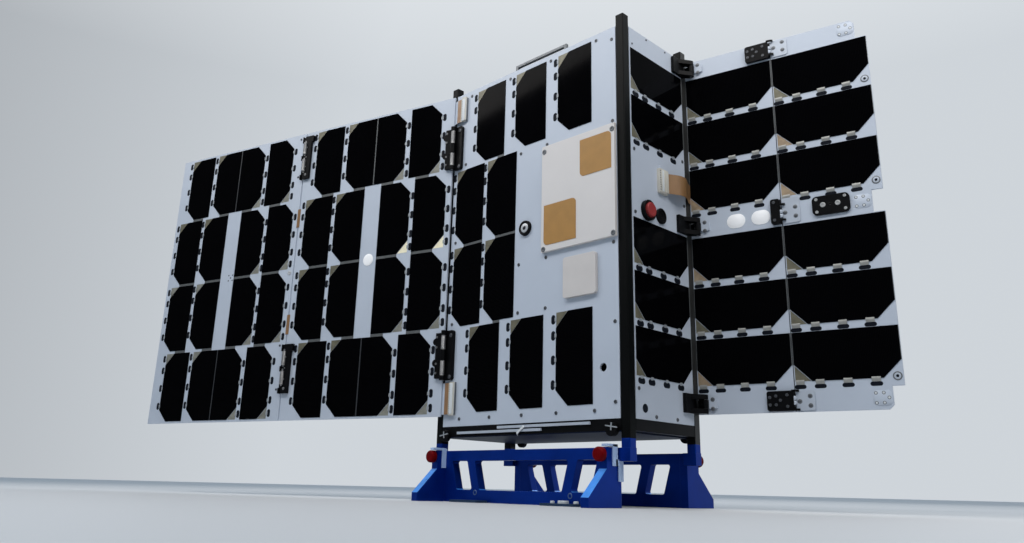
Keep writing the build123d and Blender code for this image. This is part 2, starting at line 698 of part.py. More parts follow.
def outer_hinge(name, plane, pin_s, side, gap, hinges, clasps, knuckles, web_reach, thickness):
    """Clasps on a panel's cell side, joined through its notches to knuckles behind the panel.

    side is where the panel lies; a clasp is its start, its height, its reach and a corner radius."""
    edge = gap / 2
    with BuildPart() as blocks:
        for index, (foot, tall) in enumerate(hinges):
            for start, length, reach, radius in clasps(index, tall):
                clasp_s = pin_s + side * (edge + HINGE_PLAY / 2 + reach / 2)
                with BuildSketch(plane.offset(cell_level)):
                    with Locations((clasp_s, foot + start + length / 2)):
                        RectangleRounded(reach, length, radius)
                extrude(amount=thickness)
            for start, length in knuckles(tall):
                height = foot + start + length / 2
                with BuildSketch(plane.offset(cell_level)):
                    with Locations((pin_s + side * (edge + (HINGE_PLAY / 2 + web_reach) / 2), height)):
                        Rectangle(web_reach - HINGE_PLAY / 2, length)
                extrude(amount=-WING_THICKNESS)
                with BuildSketch(plane.offset(back_level)):
                    with Locations((pin_s + side * (edge + web_reach) / 2, height)):
                        Rectangle(edge + web_reach, length)
                extrude(amount=-OUTER_PIN_DROP)
                with BuildSketch(Plane.XY.offset(foot + start)):
                    with Locations(on_wing(plane, pin_s, outer_pin_level)):
                        Circle(OUTER_KNUCKLE_RADIUS)
                extrude(amount=length)
                with BuildSketch(Plane.XY.offset(foot + start)):
                    with Locations(on_wing(plane, pin_s, outer_pin_level)):
                        Circle(bore_radius)
                extrude(amount=length, mode=Mode.SUBTRACT)
    finish(blocks, name)


def left_inner_clasps(index, tall):
    return ((0, tall, LEFT_BLOCK_REACH, BLOCK_RADIUS),
            (tall - LEFT_CAP_HEIGHT, LEFT_CAP_HEIGHT, LEFT_CAP_REACH, BLOCK_RADIUS))


def left_outer_clasps(index, tall):
    return ((0, LEFT_TOE_HEIGHT, LEFT_TOE_REACH, BLOCK_RADIUS),
            ((tall - LEFT_TOE_HEIGHT) / 2, LEFT_TOE_HEIGHT, LEFT_TOE_REACH, BLOCK_RADIUS),
            (tall - LEFT_CAP_HEIGHT, LEFT_CAP_HEIGHT, LEFT_TOE_REACH, BLOCK_RADIUS))


def right_inner_clasps(index, tall):
    reach = (RIGHT_PLATE_REACH, RIGHT_MIDDLE_REACH, RIGHT_PLATE_REACH)[index]
    return ((0, tall, reach, RIGHT_PLATE_RADIUS),)


def right_outer_clasps(index, tall):
    return ((0, tall, RIGHT_TAB_REACH, RIGHT_PLATE_RADIUS),)


outer_hinge("left_inner_blocks", LEFT_WING, left_outer_pin_s, 1, LEFT_GAP, left_outer_hinges,
            left_inner_clasps, left_end_knuckles, LEFT_WEB_REACH, LEAF_THICKNESS)
outer_hinge("left_outer_blocks", LEFT_WING, left_outer_pin_s, -1, LEFT_GAP, left_outer_hinges,
            left_outer_clasps, left_middle_knuckle, LEFT_TOE_REACH, LEAF_THICKNESS)


def outer_pins(name, plane, pin_s, hinges):
    with BuildPart() as pins:
        for foot, tall in hinges:
            with BuildSketch(Plane.XY.offset(foot + HINGE_PLAY)):
                with Locations(on_wing(plane, pin_s, outer_pin_level)):
                    Circle(PIN_RADIUS)
            extrude(amount=tall - 2 * HINGE_PLAY)
    finish(pins, name)


outer_pins("left_outer_pins", LEFT_WING, left_outer_pin_s, left_outer_hinges)


# Narrow panels of the right wing; the tip of the outer one is cut back at its three bands
def narrow_panel(name, edge_s, notches, tip_cuts):
    with BuildPart() as panel:
        with BuildSketch(RIGHT_WING.offset(cell_level)):
            with Locations((edge_s + RIGHT_WIDTH / 2, wing_mid_z)):
                Rectangle(RIGHT_WIDTH, WING_HEIGHT)
            for s, height, wide, tall in notches:
                with Locations((s, height)):
                    Rectangle(wide, tall, mode=Mode.SUBTRACT)
            for outline in tip_cuts:
                Polygon(*outline, align=None, mode=Mode.SUBTRACT)
        extrude(amount=-WING_THICKNESS)
    finish(panel, name)


def narrow_cells(name, edge_s):
    with BuildPart() as cells:
        with BuildSketch(RIGHT_WING.offset(cell_level)):
            for top in side_cell_tops:
                with Locations((edge_s + SIDE_EDGE + CELL_LONG / 2, top - CELL_SHORT / 2)):
                    Polygon(*lying_outline(), align=None)
        extrude(amount=CELL_THICKNESS)
    finish(cells, name)


tip_s = right_outer_edge_s + RIGHT_WIDTH
cut_s = tip_s - TIP_NOTCH
(top_low, top_high), (mid_low, mid_high), (foot_low, foot_high) = side_bands
top_low = top_low + TIP_NOTCH_MARGIN
mid_low = mid_low + TIP_NOTCH_MARGIN
tip_cuts = (((cut_s, top_low), (tip_s, top_low), (tip_s, top_high), (cut_s - TIP_CHAMFER, top_high),
             (cut_s, top_high - TIP_CHAMFER)),
            ((cut_s, mid_low), (tip_s, mid_low), (tip_s, mid_high - TIP_BAND_KEEP),
             (cut_s, mid_high - TIP_BAND_KEEP)),
            ((cut_s, foot_low + TIP_CHAMFER), (cut_s - TIP_CHAMFER, foot_low), (tip_s, foot_low),
             (tip_s, foot_high - TIP_BAND_KEEP), (cut_s, foot_high - TIP_BAND_KEEP)))
inner_notches = knuckle_notches(right_inner_edge_s, -1, RIGHT_WEB_REACH, right_outer_hinges,
                                right_end_knuckles)
outer_notches = knuckle_notches(right_outer_edge_s, 1, RIGHT_WEB_REACH, right_outer_hinges,
                                right_middle_knuckle)
narrow_panel("right_inner_panel", -RIGHT_ROOT_REACH, inner_notches, ())
narrow_cells("right_inner_cells", -RIGHT_ROOT_REACH)
narrow_panel("right_outer_panel", right_outer_edge_s, outer_notches, tip_cuts)
narrow_cells("right_outer_cells", right_outer_edge_s)

# Rounded plate on the outer panel's middle band
oval_s = right_outer_edge_s + OVAL_PLATE_OFFSET[0]
oval_z = (mid_low + mid_high) / 2 + OVAL_PLATE_OFFSET[1]
with BuildPart() as right_outer_plate:
    with BuildSketch(RIGHT_WING.offset(cell_level)):
        with Locations((oval_s, oval_z)):
            RectangleRounded(*OVAL_PLATE_SIZE, OVAL_PLATE_RADIUS)
    extrude(amount=OVAL_PLATE_THICKNESS)
finish(right_outer_plate, "right_outer_plate")

# Right root hinge: brackets on the bus side reach out to the pin
bracket_y = half_depth - RAIL_SIDE - BRACKET_GAP - BRACKET_WIDTH / 2
arm_end_y = half_depth - RAIL_SIDE - BRACKET_GAP
with BuildPart() as right_root_brackets:
    for foot, tall in right_root_hinges:
        arm = BRACKET_ARM_SHARE * tall
        with BuildSketch(RIGHT):
            with Locations((bracket_y, foot + tall / 2)):
                Rectangle(BRACKET_WIDTH, tall)
        extrude(amount=LEAF_THICKNESS)
        for start in (0.0, tall - arm):
            with BuildSketch(Plane.XY.offset(foot + start)):
                with BuildLine():
                    Polyline((half_width, bracket_y), (half_width + LEAF_THICKNESS, bracket_y),
                             (right_pin[0] + BRACKET_NECK, right_pin[1] - BRACKET_NECK),
                             (right_pin[0] - BRACKET_NECK, right_pin[1] + BRACKET_NECK),
                             (half_width + BRACKET_GAP, arm_end_y + BRACKET_NECK),
                             (half_width, arm_end_y), close=True)
                make_face()
                with Locations(right_pin):
                    Circle(RIGHT_KNUCKLE_RADIUS)
                    Circle(bore_radius, mode=Mode.SUBTRACT)
            extrude(amount=arm)
finish(right_root_brackets, "right_root_brackets")

# Right root hinge, wing side: light leaves with one knuckle between the bracket's arms
with BuildPart() as right_inner_leaves:
    for foot, tall in right_root_hinges:
        arm = BRACKET_ARM_SHARE * tall
        knuckle_foot = foot + arm + HINGE_PLAY
        knuckle_tall = tall - 2 * arm - 2 * HINGE_PLAY
        with BuildSketch(RIGHT_WING.offset(cell_level)):
            with Locations((RIGHT_LEAF_REACH / 2, foot + tall / 2)):
                Rectangle(RIGHT_LEAF_REACH, knuckle_tall)
        extrude(amount=RIGHT_LEAF_THICKNESS)
        with BuildSketch(RIGHT_WING.offset(cell_level)):
            with Locations((RIGHT_KNUCKLE_RADIUS / 2, foot + tall / 2)):
                Rectangle(RIGHT_KNUCKLE_RADIUS, knuckle_tall)
        extrude(amount=PIN_RISE)
        with BuildSketch(Plane.XY.offset(knuckle_foot)):
            with Locations(right_pin):
                Circle(RIGHT_KNUCKLE_RADIUS)
        extrude(amount=knuckle_tall)
        with BuildSketch(Plane.XY.offset(knuckle_foot)):
            with Locations(right_pin):
                Circle(bore_radius)
        extrude(amount=knuckle_tall, mode=Mode.SUBTRACT)
finish(right_inner_leaves, "right_inner_leaves")

outer_hinge("right_inner_blocks", RIGHT_WING, right_outer_pin_s, -1, RIGHT_GAP, right_outer_hinges,
            right_inner_clasps, right_end_knuckles, RIGHT_WEB_REACH, LEAF_THICKNESS)
outer_hinge("right_outer_blocks", RIGHT_WING, right_outer_pin_s, 1, RIGHT_GAP, right_outer_hinges,
            right_outer_clasps, right_middle_knuckle, RIGHT_WEB_REACH, RIGHT_TAB_THICKNESS)
outer_pins("right_outer_pins", RIGHT_WING, right_outer_pin_s, right_outer_hinges)

# Cradle frames: a plate with slanted ribs between three openings
frame_half_width = half_width - FRAME_INSET
frame_inner_y = half_depth - FRAME_SETBACK
frame_y = frame_inner_y + FRAME_PLATE / 2
half_rib = RIB_WIDTH / 2


def bay(left_rib, right_rib):
    """Opening between two ribs, each given by its centre at the top and at the foot."""
    top = FRAME_TOP - FRAME_BAR
    return ((left_rib[1] + half_rib, FRAME_BASE_BAR), (right_rib[1] - half_rib, FRAME_BASE_BAR),
            (right_rib[0] - half_rib, top), (left_rib[0] + half_rib, top))


rib = (RIB_TOP_SHARE * frame_half_width, RIB_FOOT_SHARE * frame_half_width)
end_rib = (frame_half_width - END_RIB_TOP_INSET, frame_half_width - END_RIB_FOOT_INSET)
mirrored_rib = (-rib[0], -rib[1])
mirrored_end_rib = (-end_rib[0], -end_rib[1])
bays = (bay(mirrored_rib, rib), bay(rib, end_rib), bay(mirrored_end_rib, mirrored_rib))


def cradle_frame(name, side):
    with BuildPart() as frame:
        with BuildSketch(Plane(origin=(0, side * frame_y, 0), x_dir=(1, 0, 0), z_dir=(0, -1, 0))):
            with Locations((0, FRAME_TOP / 2)):
                Rectangle(2 * frame_half_width, FRAME_TOP)
            for corners in bays:
                Polygon(*corners, align=None, mode=Mode.SUBTRACT)
        extrude(amount=FRAME_PLATE / 2, both=True)
        inside = frame_half_width - BAY_RADIUS
        corners = frame.edges().filter_by(Axis.Y).filter_by_position(Axis.X, -inside, inside)
        fillet(corners, radius=BAY_RADIUS)
    finish(frame, name)


cradle_frame("cradle_front_frame", -1)
cradle_frame("cradle_rear_frame", 1)

# Gussets: four upright plates with a sloped outer edge, each with a lug under its rail
gusset_x = frame_half_width + GUSSET_THICKNESS / 2
gusset_face_x = frame_half_width + GUSSET_THICKNESS
gusset_top_y = half_depth + GUSSET_TOP_REACH
gusset_foot_y = half_depth + GUSSET_FOOT_REACH
gusset_outline = ((frame_inner_y, 0), (gusset_foot_y, 0), (gusset_foot_y, GUSSET_SLOPE_FOOT),
                  (gusset_top_y, GUSSET_SLOPE_TOP), (gusset_top_y, FRAME_TOP), (frame_inner_y, FRAME_TOP))
lug_root_x = gusset_face_x - LUG_BITE
with BuildPart() as gussets:
    for side_x in (-1, 1):
        for side_y in (-1, 1):
            with BuildSketch(Plane(origin=(side_x * gusset_x, 0, 0), x_dir=(0, 1, 0), z_dir=(1, 0, 0))):
                points = [(side_y * y, z) for y, z in gusset_outline]
                Polygon(*(points if side_y > 0 else points[::-1]), align=None)
            extrude(amount=GUSSET_THICKNESS / 2, both=True)
            with BuildSketch(Plane.XY.offset(FRAME_TOP - LUG_HEIGHT)):
                with Locations((side_x * (lug_root_x + half_width) / 2, side_y * rail_y)):
                    Rectangle(half_width - lug_root_x, RAIL_SIDE)
            extrude(amount=LUG_HEIGHT)
finish(gussets, "cradle_gussets")

with BuildPart() as posts:
    with BuildSketch(Plane.XY.offset(FRAME_TOP)):
        with GridLocations(2 * rail_x, 2 * rail_y, 2, 2):
            RectangleRounded(RAIL_SIDE, RAIL_SIDE, RAIL_EDGE_RADIUS)
    extrude(amount=rail_foot_z - FRAME_TOP)
finish(posts, "cradle_posts")

# Round clamp knobs on stems at the gussets' upper edges
with BuildPart() as knobs:
    for side_y in (-1, 1):
        face = Plane(origin=(0, side_y * gusset_top_y, KNOB_HEIGHT), x_dir=(1, 0, 0), z_dir=(0, side_y, 0))
        with BuildSketch(face):
            with GridLocations(2 * gusset_x, 0, 2, 1):
                Circle(KNOB_STEM_RADIUS)
        extrude(amount=KNOB_STEM_LENGTH)
        with BuildSketch(face.offset(KNOB_STEM_LENGTH)):
            with GridLocations(2 * gusset_x, 0, 2, 1):
                Circle(KNOB_RADIUS)
        extrude(amount=KNOB_LENGTH)
    for end in (0, -1):
        fillet(knobs.edges().filter_by(GeomType.CIRCLE).group_by(Axis.Y)[end], radius=KNOB_EDGE_RADIUS)
finish(knobs, "cradle_knobs")

# Foot flanges with the cradle's base holes
flange_y = frame_inner_y + FRAME_PLATE + FLANGE_REACH / 2
with BuildPart() as flanges:
    with BuildSketch(Plane.XY):
        with GridLocations(2 * BASE_HOLE_X, 2 * flange_y, 2, 2):
            RectangleRounded(FLANGE_LENGTH, FLANGE_REACH, FLANGE_RADIUS)
            Circle(BASE_HOLE_RADIUS, mode=Mode.SUBTRACT)
    extrude(amount=FLANGE_THICKNESS)
finish(flanges, "cradle_flanges")
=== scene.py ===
from math import cos, pi, radians, sin
import bmesh
import bpy
from mathutils import Matrix, Vector


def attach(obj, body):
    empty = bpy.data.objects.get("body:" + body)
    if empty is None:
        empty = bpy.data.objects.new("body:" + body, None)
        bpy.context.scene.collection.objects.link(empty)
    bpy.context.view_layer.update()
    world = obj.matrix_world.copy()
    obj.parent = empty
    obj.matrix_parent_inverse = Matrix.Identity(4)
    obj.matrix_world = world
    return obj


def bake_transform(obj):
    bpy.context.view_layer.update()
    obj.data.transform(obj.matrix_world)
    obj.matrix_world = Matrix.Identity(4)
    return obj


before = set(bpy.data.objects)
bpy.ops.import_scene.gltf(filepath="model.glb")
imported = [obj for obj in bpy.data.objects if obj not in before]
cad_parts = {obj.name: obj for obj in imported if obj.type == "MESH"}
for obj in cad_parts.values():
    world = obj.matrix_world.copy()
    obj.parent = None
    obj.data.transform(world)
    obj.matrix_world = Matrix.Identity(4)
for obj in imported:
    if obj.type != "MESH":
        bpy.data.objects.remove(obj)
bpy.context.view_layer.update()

MM = 0.001

# Places and sizes of the solids, in millimetres, and the wings' turns
LEFT_PIN = (-102.65, -55.9)
RIGHT_PIN = (121.5, 46.0)
LEFT_TURN = radians(15.2)
RIGHT_TURN = radians(11.1)
HALF_WIDTH = 113.15
HALF_DEPTH = 50.0
PANEL_TOP = 411.2
PIN_RISE = 3.5
CELL_LONG = 80.0
CELL_SHORT = 40.0
CORNER = 13.5
COLLECTOR_PITCH = 1.25
LEFT_INNER_MIDDLE = -104.65
LEFT_OUTER_MIDDLE = -315.95
RIGHT_INNER_MIDDLE = 33.3
RIGHT_OUTER_MIDDLE = 115.1
RIGHT_SEAM = 74.2
SEAM_FOOT, SEAM_TOP = 76.6, 409.6
CRADLE_FRONT = -54.0
FLANGE_HEIGHT = 2.0


def face_matrix(origin, along, out):
    """Local x along a face, y up, z out of it; millimetres in, metres out."""
    x, z = Vector(along).normalized(), Vector(out).normalized()
    y = z.cross(x)
    rot = Matrix((x, y, z)).transposed().to_4x4()
    return Matrix.Translation(Vector(origin) * MM) @ rot @ Matrix.Scale(MM, 4)


def wing_matrix(pin, turn):
    """s along the wing to the viewer's right, height, level over the panel's cell face."""
    out = Vector((sin(turn), -cos(turn), 0))
    return face_matrix(Vector((pin[0], pin[1], 0)) - PIN_RISE * out, (cos(turn), sin(turn), 0), out)


FRONT = face_matrix((0, -HALF_DEPTH, 0), (1, 0, 0), (0, -1, 0))
BACK = face_matrix((0, HALF_DEPTH, 0), (-1, 0, 0), (0, 1, 0))
RIGHT = face_matrix((HALF_WIDTH, 0, 0), (0, 1, 0), (1, 0, 0))
LEFT = face_matrix((-HALF_WIDTH, 0, 0), (0, -1, 0), (-1, 0, 0))
TOP = face_matrix((0, 0, PANEL_TOP), (1, 0, 0), (0, 0, 1))
LEFT_WING = wing_matrix(LEFT_PIN, LEFT_TURN)
RIGHT_WING = wing_matrix(RIGHT_PIN, RIGHT_TURN)
FRAME_FRONT = face_matrix((0, CRADLE_FRONT, 0), (1, 0, 0), (0, -1, 0))
FLANGE_TOP = face_matrix((0, 0, FLANGE_HEIGHT), (1, 0, 0), (0, 0, 1))
UPRIGHT = Matrix.Scale(MM, 4)


# Node helpers for the materials and the world
def color_ramp(tree, factor, stops):
    """Colour ramp between two (position, colour) stops; gives its colour socket."""
    ramp = tree.nodes.new("ShaderNodeValToRGB")
    for element, (position, color) in zip(ramp.color_ramp.elements, stops):
        element.position = position
        element.color = (*color, 1)
    tree.links.new(factor, ramp.inputs["Fac"])
    return ramp.outputs["Color"]


def map_range(tree, value, low, high, to_low=0.0, to_high=1.0):
    """Maps a value from low..high to to_low..to_high; gives the result's socket."""
    span = tree.nodes.new("ShaderNodeMapRange")
    span.inputs["From Min"].default_value = low
    span.inputs["From Max"].default_value = high
    span.inputs["To Min"].default_value = to_low
    span.inputs["To Max"].default_value = to_high
    tree.links.new(value, span.inputs["Value"])
    return span.outputs["Result"]


# Shared by the materials. RELIEF is in millimetres, and a wave texture's phase grows by WAVE_FACTOR radians a unit.
COAT_ROUGH = 0.08
NOISE_DETAIL = 4.0
FINE_SCALE = 400.0
RELIEF = 0.3
WAVE_FACTOR = 20


def material(name, color, rough=0.5, metal=0.0, specular=0.5, vary=0.06, scale=60.0, bump=0.0, rough_vary=0.0,
             stretch=(1, 1, 1), coat=0.0, round_edge=0.0):
    """Principled material whose colour and roughness drift with object-space noise."""
    m = bpy.data.materials.new(name)
    m.use_nodes = True
    nodes, links = m.node_tree.nodes, m.node_tree.links
    shader = nodes["Principled BSDF"]
    shader.inputs["Metallic"].default_value = metal
    shader.inputs["Specular IOR Level"].default_value = specular
    shader.inputs["Coat Weight"].default_value = coat
    shader.inputs["Coat Roughness"].default_value = COAT_ROUGH
    where = nodes.new("ShaderNodeTexCoord")
    mapping = nodes.new("ShaderNodeMapping")
    mapping.inputs["Scale"].default_value = stretch
    links.new(where.outputs["Object"], mapping.inputs["Vector"])
    noise = nodes.new("ShaderNodeTexNoise")
    noise.inputs["Scale"].default_value = scale
    noise.inputs["Detail"].default_value = NOISE_DETAIL
    links.new(mapping.outputs["Vector"], noise.inputs["Vector"])
    darker = [c * (1 - vary) for c in color]
    lighter = [min(1.0, c * (1 + vary)) for c in color]
    drift = color_ramp(m.node_tree, noise.outputs["Fac"], ((0.3, darker), (0.7, lighter)))
    links.new(drift, shader.inputs["Base Color"])
    shader.inputs["Roughness"].default_value = rough
    if rough_vary:
        smoothest, roughest = rough * (1 - rough_vary), min(1.0, rough * (1 + rough_vary))
        links.new(map_range(m.node_tree, noise.outputs["Fac"], 0.0, 1.0, smoothest, roughest),
                  shader.inputs["Roughness"])
    rounding = None
    if round_edge:
        rounding = nodes.new("ShaderNodeBevel")
        rounding.inputs["Radius"].default_value = round_edge * MM
        links.new(rounding.outputs["Normal"], shader.inputs["Normal"])
    if bump:
        fine = nodes.new("ShaderNodeTexNoise")
        fine.inputs["Scale"].default_value = FINE_SCALE
        links.new(mapping.outputs["Vector"], fine.inputs["Vector"])
        relief = nodes.new("ShaderNodeBump")
        relief.inputs["Strength"].default_value = bump
        relief.inputs["Distance"].default_value = RELIEF * MM
        links.new(fine.outputs["Fac"], relief.inputs["Height"])
        if rounding:
            links.new(rounding.outputs["Normal"], relief.inputs["Normal"])
        links.new(relief.outputs["Normal"], shader.inputs["Normal"])
    return m


def cell_material(name, direction, turn=0.0):
    """Near-black cover glass over fine collector lines that run across the cell."""
    m = material(name, (0.0006, 0.0006, 0.0008), rough=0.07, specular=0.012, vary=0.25, scale=30, rough_vary=0.25)
    nodes, links = m.node_tree.nodes, m.node_tree.links
    where = nodes.new("ShaderNodeTexCoord")
    mapping = nodes.new("ShaderNodeMapping")
    mapping.inputs["Rotation"].default_value = (0, 0, -turn)
    links.new(where.outputs["Object"], mapping.inputs["Vector"])
    wave = nodes.new("ShaderNodeTexWave")
    wave.bands_direction = direction
    wave.inputs["Scale"].default_value = 2 * pi / (WAVE_FACTOR * COLLECTOR_PITCH * MM)
    links.new(mapping.outputs["Vector"], wave.inputs["Vector"])
    lines = color_ramp(m.node_tree, wave.outputs["Fac"], ((0.86, (0, 0, 0)), (0.97, (0.0035, 0.0035, 0.0045))))
    add = nodes.new("ShaderNodeMix")
    add.data_type = "RGBA"
    add.blend_type = "ADD"
    add.inputs["Factor"].default_value = 1.0
    shader = nodes["Principled BSDF"]
    links.new(shader.inputs["Base Color"].links[0].from_socket, add.inputs["A"])
    links.new(lines, add.inputs["B"])
    links.new(add.outputs["Result"], shader.inputs["Base Color"])
    return m


PANEL = material("panel_coat", (0.49, 0.535, 0.605), rough=0.42, vary=0.025, scale=22, bump=0.04, rough_vary=0.15)
CELL_UP = cell_material("cell_upright", "Z")
CELL_SIDE = cell_material("cell_side", "Y")
CELL_WING = cell_material("cell_lying", "X", RIGHT_TURN)
CELL_EDGE = material("cell_edge", (0.03, 0.032, 0.036), rough=0.4, vary=0.2, scale=200)
GAP = material("gap_film", (0.085, 0.09, 0.09), rough=0.5, vary=0.15, scale=150, bump=0.05)
RAIL = material("rail_anodised", (0.0022, 0.0026, 0.0026), rough=0.42, specular=0.08, vary=0.2, scale=40,
                stretch=(1, 1, 0.1), bump=0.05, rough_vary=0.2, round_edge=0.5)
BLACK = material("black_anodised", (0.0025, 0.0025, 0.003), rough=0.42, specular=0.1, vary=0.25, scale=90,
                 bump=0.08, rough_vary=0.2, round_edge=0.3)
HOLE = material("slot_dark", (0.004, 0.006, 0.011), rough=0.6, specular=0.1, vary=0.3, scale=300)
# Lighter copy of the rail finish: painted light on the rear rails' right-facing faces
RAIL_PAINTED_LIGHT = material("rail_painted_light", (0.022, 0.022, 0.021), rough=0.4, specular=0.3, vary=0.25, scale=60,
                    stretch=(1, 1, 0.1), bump=0.05)
FLANGE = material("flange_alloy", (0.018, 0.042, 0.085), rough=0.45, metal=0.1, specular=0.25, vary=0.1, scale=120,
                  bump=0.08)
GREY = material("grey_alloy", (0.15, 0.16, 0.17), rough=0.45, metal=0.5, vary=0.1, scale=120, bump=0.1,
                round_edge=0.4)
LIGHT = material("light_alloy", (0.46, 0.50, 0.56), rough=0.4, metal=0.1, vary=0.05, scale=120, bump=0.06,
                 round_edge=0.2)
UNDER = material("under_coat", (0.007, 0.011, 0.026), rough=0.45, specular=0.08, vary=0.2, scale=30, bump=0.05)
BLUE = material("blue_anodised", (0.0016, 0.030, 0.26), rough=0.32, metal=0.6, specular=0.12, vary=0.12, scale=45,
                bump=0.06, rough_vary=0.25, round_edge=0.7)
# Lighter blue copy of the anodised finish: painted highlight on the cradle's bay tops and gusset slopes
BLUE_PAINTED_HIGHLIGHT = material("blue_painted_highlight", (0.06, 0.30, 0.86), rough=0.3, metal=0.3, vary=0.12, scale=120, bump=0.06,
                    rough_vary=0.25)
RING = material("ring_steel", (0.10, 0.17, 0.30), rough=0.35, metal=0.4, vary=0.1, scale=300)
CLIP = material("clip_plastic", (0.46, 0.60, 0.84), rough=0.5, vary=0.04, scale=150)
RED = material("red_plastic", (0.13, 0.0006, 0.002), rough=0.45, specular=0.06, vary=0.1, scale=150, bump=0.05)
RED_CAP = material("red_cap", (0.30, 0.032, 0.032), rough=0.45, specular=0.3, vary=0.1, scale=200, bump=0.08)
CERAMIC = material("white_radome", (0.66, 0.625, 0.60), rough=0.5, vary=0.02, scale=30, bump=0.04, round_edge=0.4)
TAN = material("tan_patch", (0.38, 0.192, 0.042), rough=0.5, vary=0.07, scale=90, bump=0.1)
CREAM = material("cream_tile", (0.61, 0.57, 0.54), rough=0.4, vary=0.03, scale=60, bump=0.05, round_edge=0.5)
CREAM_PLASTIC = material("cream_plastic", (0.56, 0.53, 0.46), rough=0.45, vary=0.05, scale=90, round_edge=0.3)
SPRING = material("spring_steel", (0.30, 0.30, 0.30), rough=0.35, metal=0.8, vary=0.08, scale=300)
STEEL = material("screw_steel", (0.10, 0.105, 0.115), rough=0.4, metal=0.5, vary=0.1, scale=300)
BRIGHT = material("bright_alloy", (0.55, 0.56, 0.57), rough=0.35, metal=0.3, vary=0.06, scale=200)
DULL = material("dull_tab", (0.36, 0.38, 0.40), rough=0.45, metal=0.2, vary=0.1, scale=250)
TAB = material("lying_tab", (0.33, 0.325, 0.30), rough=0.42, metal=0.2, vary=0.12, scale=250, bump=0.05)
SILVER = material("silver_tab", (0.46, 0.46, 0.45), rough=0.4, metal=0.3, vary=0.1, scale=250, bump=0.05)
GOLD = material("corner_film", (0.15, 0.138, 0.092), rough=0.42, metal=0.2, vary=0.2, scale=180, bump=0.1)
AMBER = material("corner_film_amber", (0.34, 0.25, 0.16), rough=0.42, metal=0.2, vary=0.2, scale=180, bump=0.1)
PALE_FILM = material("corner_film_pale", (0.245, 0.24, 0.20), rough=0.42, metal=0.2, vary=0.2, scale=180,
                     bump=0.1)
CREAM_FILM = material("corner_film_cream", (0.92, 0.84, 0.60), rough=0.42, vary=0.06, scale=180, bump=0.1)
FLEX = material("flex_film", (0.25, 0.135, 0.058), rough=0.32, vary=0.12, scale=120, coat=0.2, stretch=(1, 1, 0.3))
FLEX_PALE = material("flex_pale", (0.27, 0.145, 0.065), rough=0.38, vary=0.1, scale=120)
WHITE = material("white_plastic", (0.66, 0.68, 0.68), rough=0.45, vary=0.03, scale=100, bump=0.03)
DOT = material("white_dot", (0.98, 0.97, 0.96), rough=0.5, vary=0.02, scale=100, bump=0.03)
LENS = material("sensor_glass", (0.02, 0.02, 0.025), rough=0.05, vary=0.3, scale=200, coat=0.6)
CORE = material("inner_core", (0.03, 0.03, 0.035), rough=0.6, vary=0.2, scale=90)

FINISH = {
    "rails": RAIL, "bottom_frame": BLACK, "top_frame": BLACK, "bottom_plate": UNDER, "top_plate": GREY,
    "front_panel": PANEL, "back_panel": PANEL, "right_panel": PANEL, "left_panel": PANEL, "avionics_stack": CORE,
    "front_cells": CELL_UP, "right_cells": CELL_SIDE, "antenna_plate": CERAMIC, "antenna_patches": TAN,
    "antenna_tile": CREAM, "antenna_strips": LIGHT, "corner_bosses": BLACK, "top_bar": GREY,
    "sun_sensor": BLACK, "side_ports": BLACK, "port_cap": RED_CAP, "flat_connectors": CREAM_PLASTIC,
    "left_root_leaves": BLACK, "left_root_pins": SPRING, "right_root_brackets": BLACK, "right_root_pins": SPRING,
    "cradle_front_frame": BLUE, "cradle_rear_frame": BLUE, "cradle_gussets": BLUE, "cradle_posts": BLUE,
    "cradle_knobs": RED, "cradle_flanges": FLANGE,
    "left_inner_panel": PANEL, "left_inner_cells": CELL_UP, "left_inner_leaves": BLACK, "left_inner_blocks": BLACK,
    "left_outer_pins": SPRING, "left_outer_panel": PANEL, "left_outer_cells": CELL_UP, "left_outer_blocks": BLACK,
    "right_inner_panel": PANEL, "right_inner_cells": CELL_WING, "right_inner_leaves": PANEL,
    "right_inner_blocks": BLACK, "right_outer_pins": SPRING, "right_outer_panel": PANEL,
    "right_outer_cells": CELL_WING, "right_outer_blocks": LIGHT, "right_outer_plate": BLACK,
}
CELL_OUT = {
    "front_cells": FRONT, "right_cells": RIGHT, "left_inner_cells": LEFT_WING, "left_outer_cells": LEFT_WING,
    "right_inner_cells": RIGHT_WING, "right_outer_cells": RIGHT_WING,
}
for name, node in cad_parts.items():
    node.data.materials.clear()
    node.data.materials.append(FINISH[name])


def repaint(name, finish, chosen):
    """Gives the chosen faces of a node a second finish."""
    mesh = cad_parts[name].data
    mesh.materials.append(finish)
    for face in mesh.polygons:
        face.material_index = 1 if chosen(face) else 0


# Cells keep their glass on the outer face alone, and the right connector's faces take the panel's coat. Painted light
# and shade: the rear rails' right-facing faces are lighter, the right inner leaves' faces above LEAF_LEVEL are black
# for the shade of the hinge's gap, and top faces in the cradle frames' bay and the gussets' slopes are a lighter blue
# for their highlight. LEAF_LEVEL is a level over the right wing, in millimetres, and BAY is the part of the cradle's
# frames between their posts, in metres.
LEAF_LEVEL = 1.55
BAY_HALF, BAY_LOW, BAY_HIGH = 0.088, 0.005, 0.036
for name, place in CELL_OUT.items():
    out = (place.to_3x3() @ Vector((0, 0, 1))).normalized()
    repaint(name, CELL_EDGE, lambda face: face.normal.dot(out) <= 0.7)
to_right_wing = RIGHT_WING.inverted()
# Painted light: the rear rails' right-facing faces take the lighter rail finish
repaint("rails", RAIL_PAINTED_LIGHT, lambda face: face.normal.x > 0.9 and face.center.y > 0.04)
# Painted shade: the right inner leaves' faces above LEAF_LEVEL are made black, for the dark gap of the hinge
repaint("right_inner_leaves", BLACK, lambda face: (to_right_wing @ face.center).z > LEAF_LEVEL)
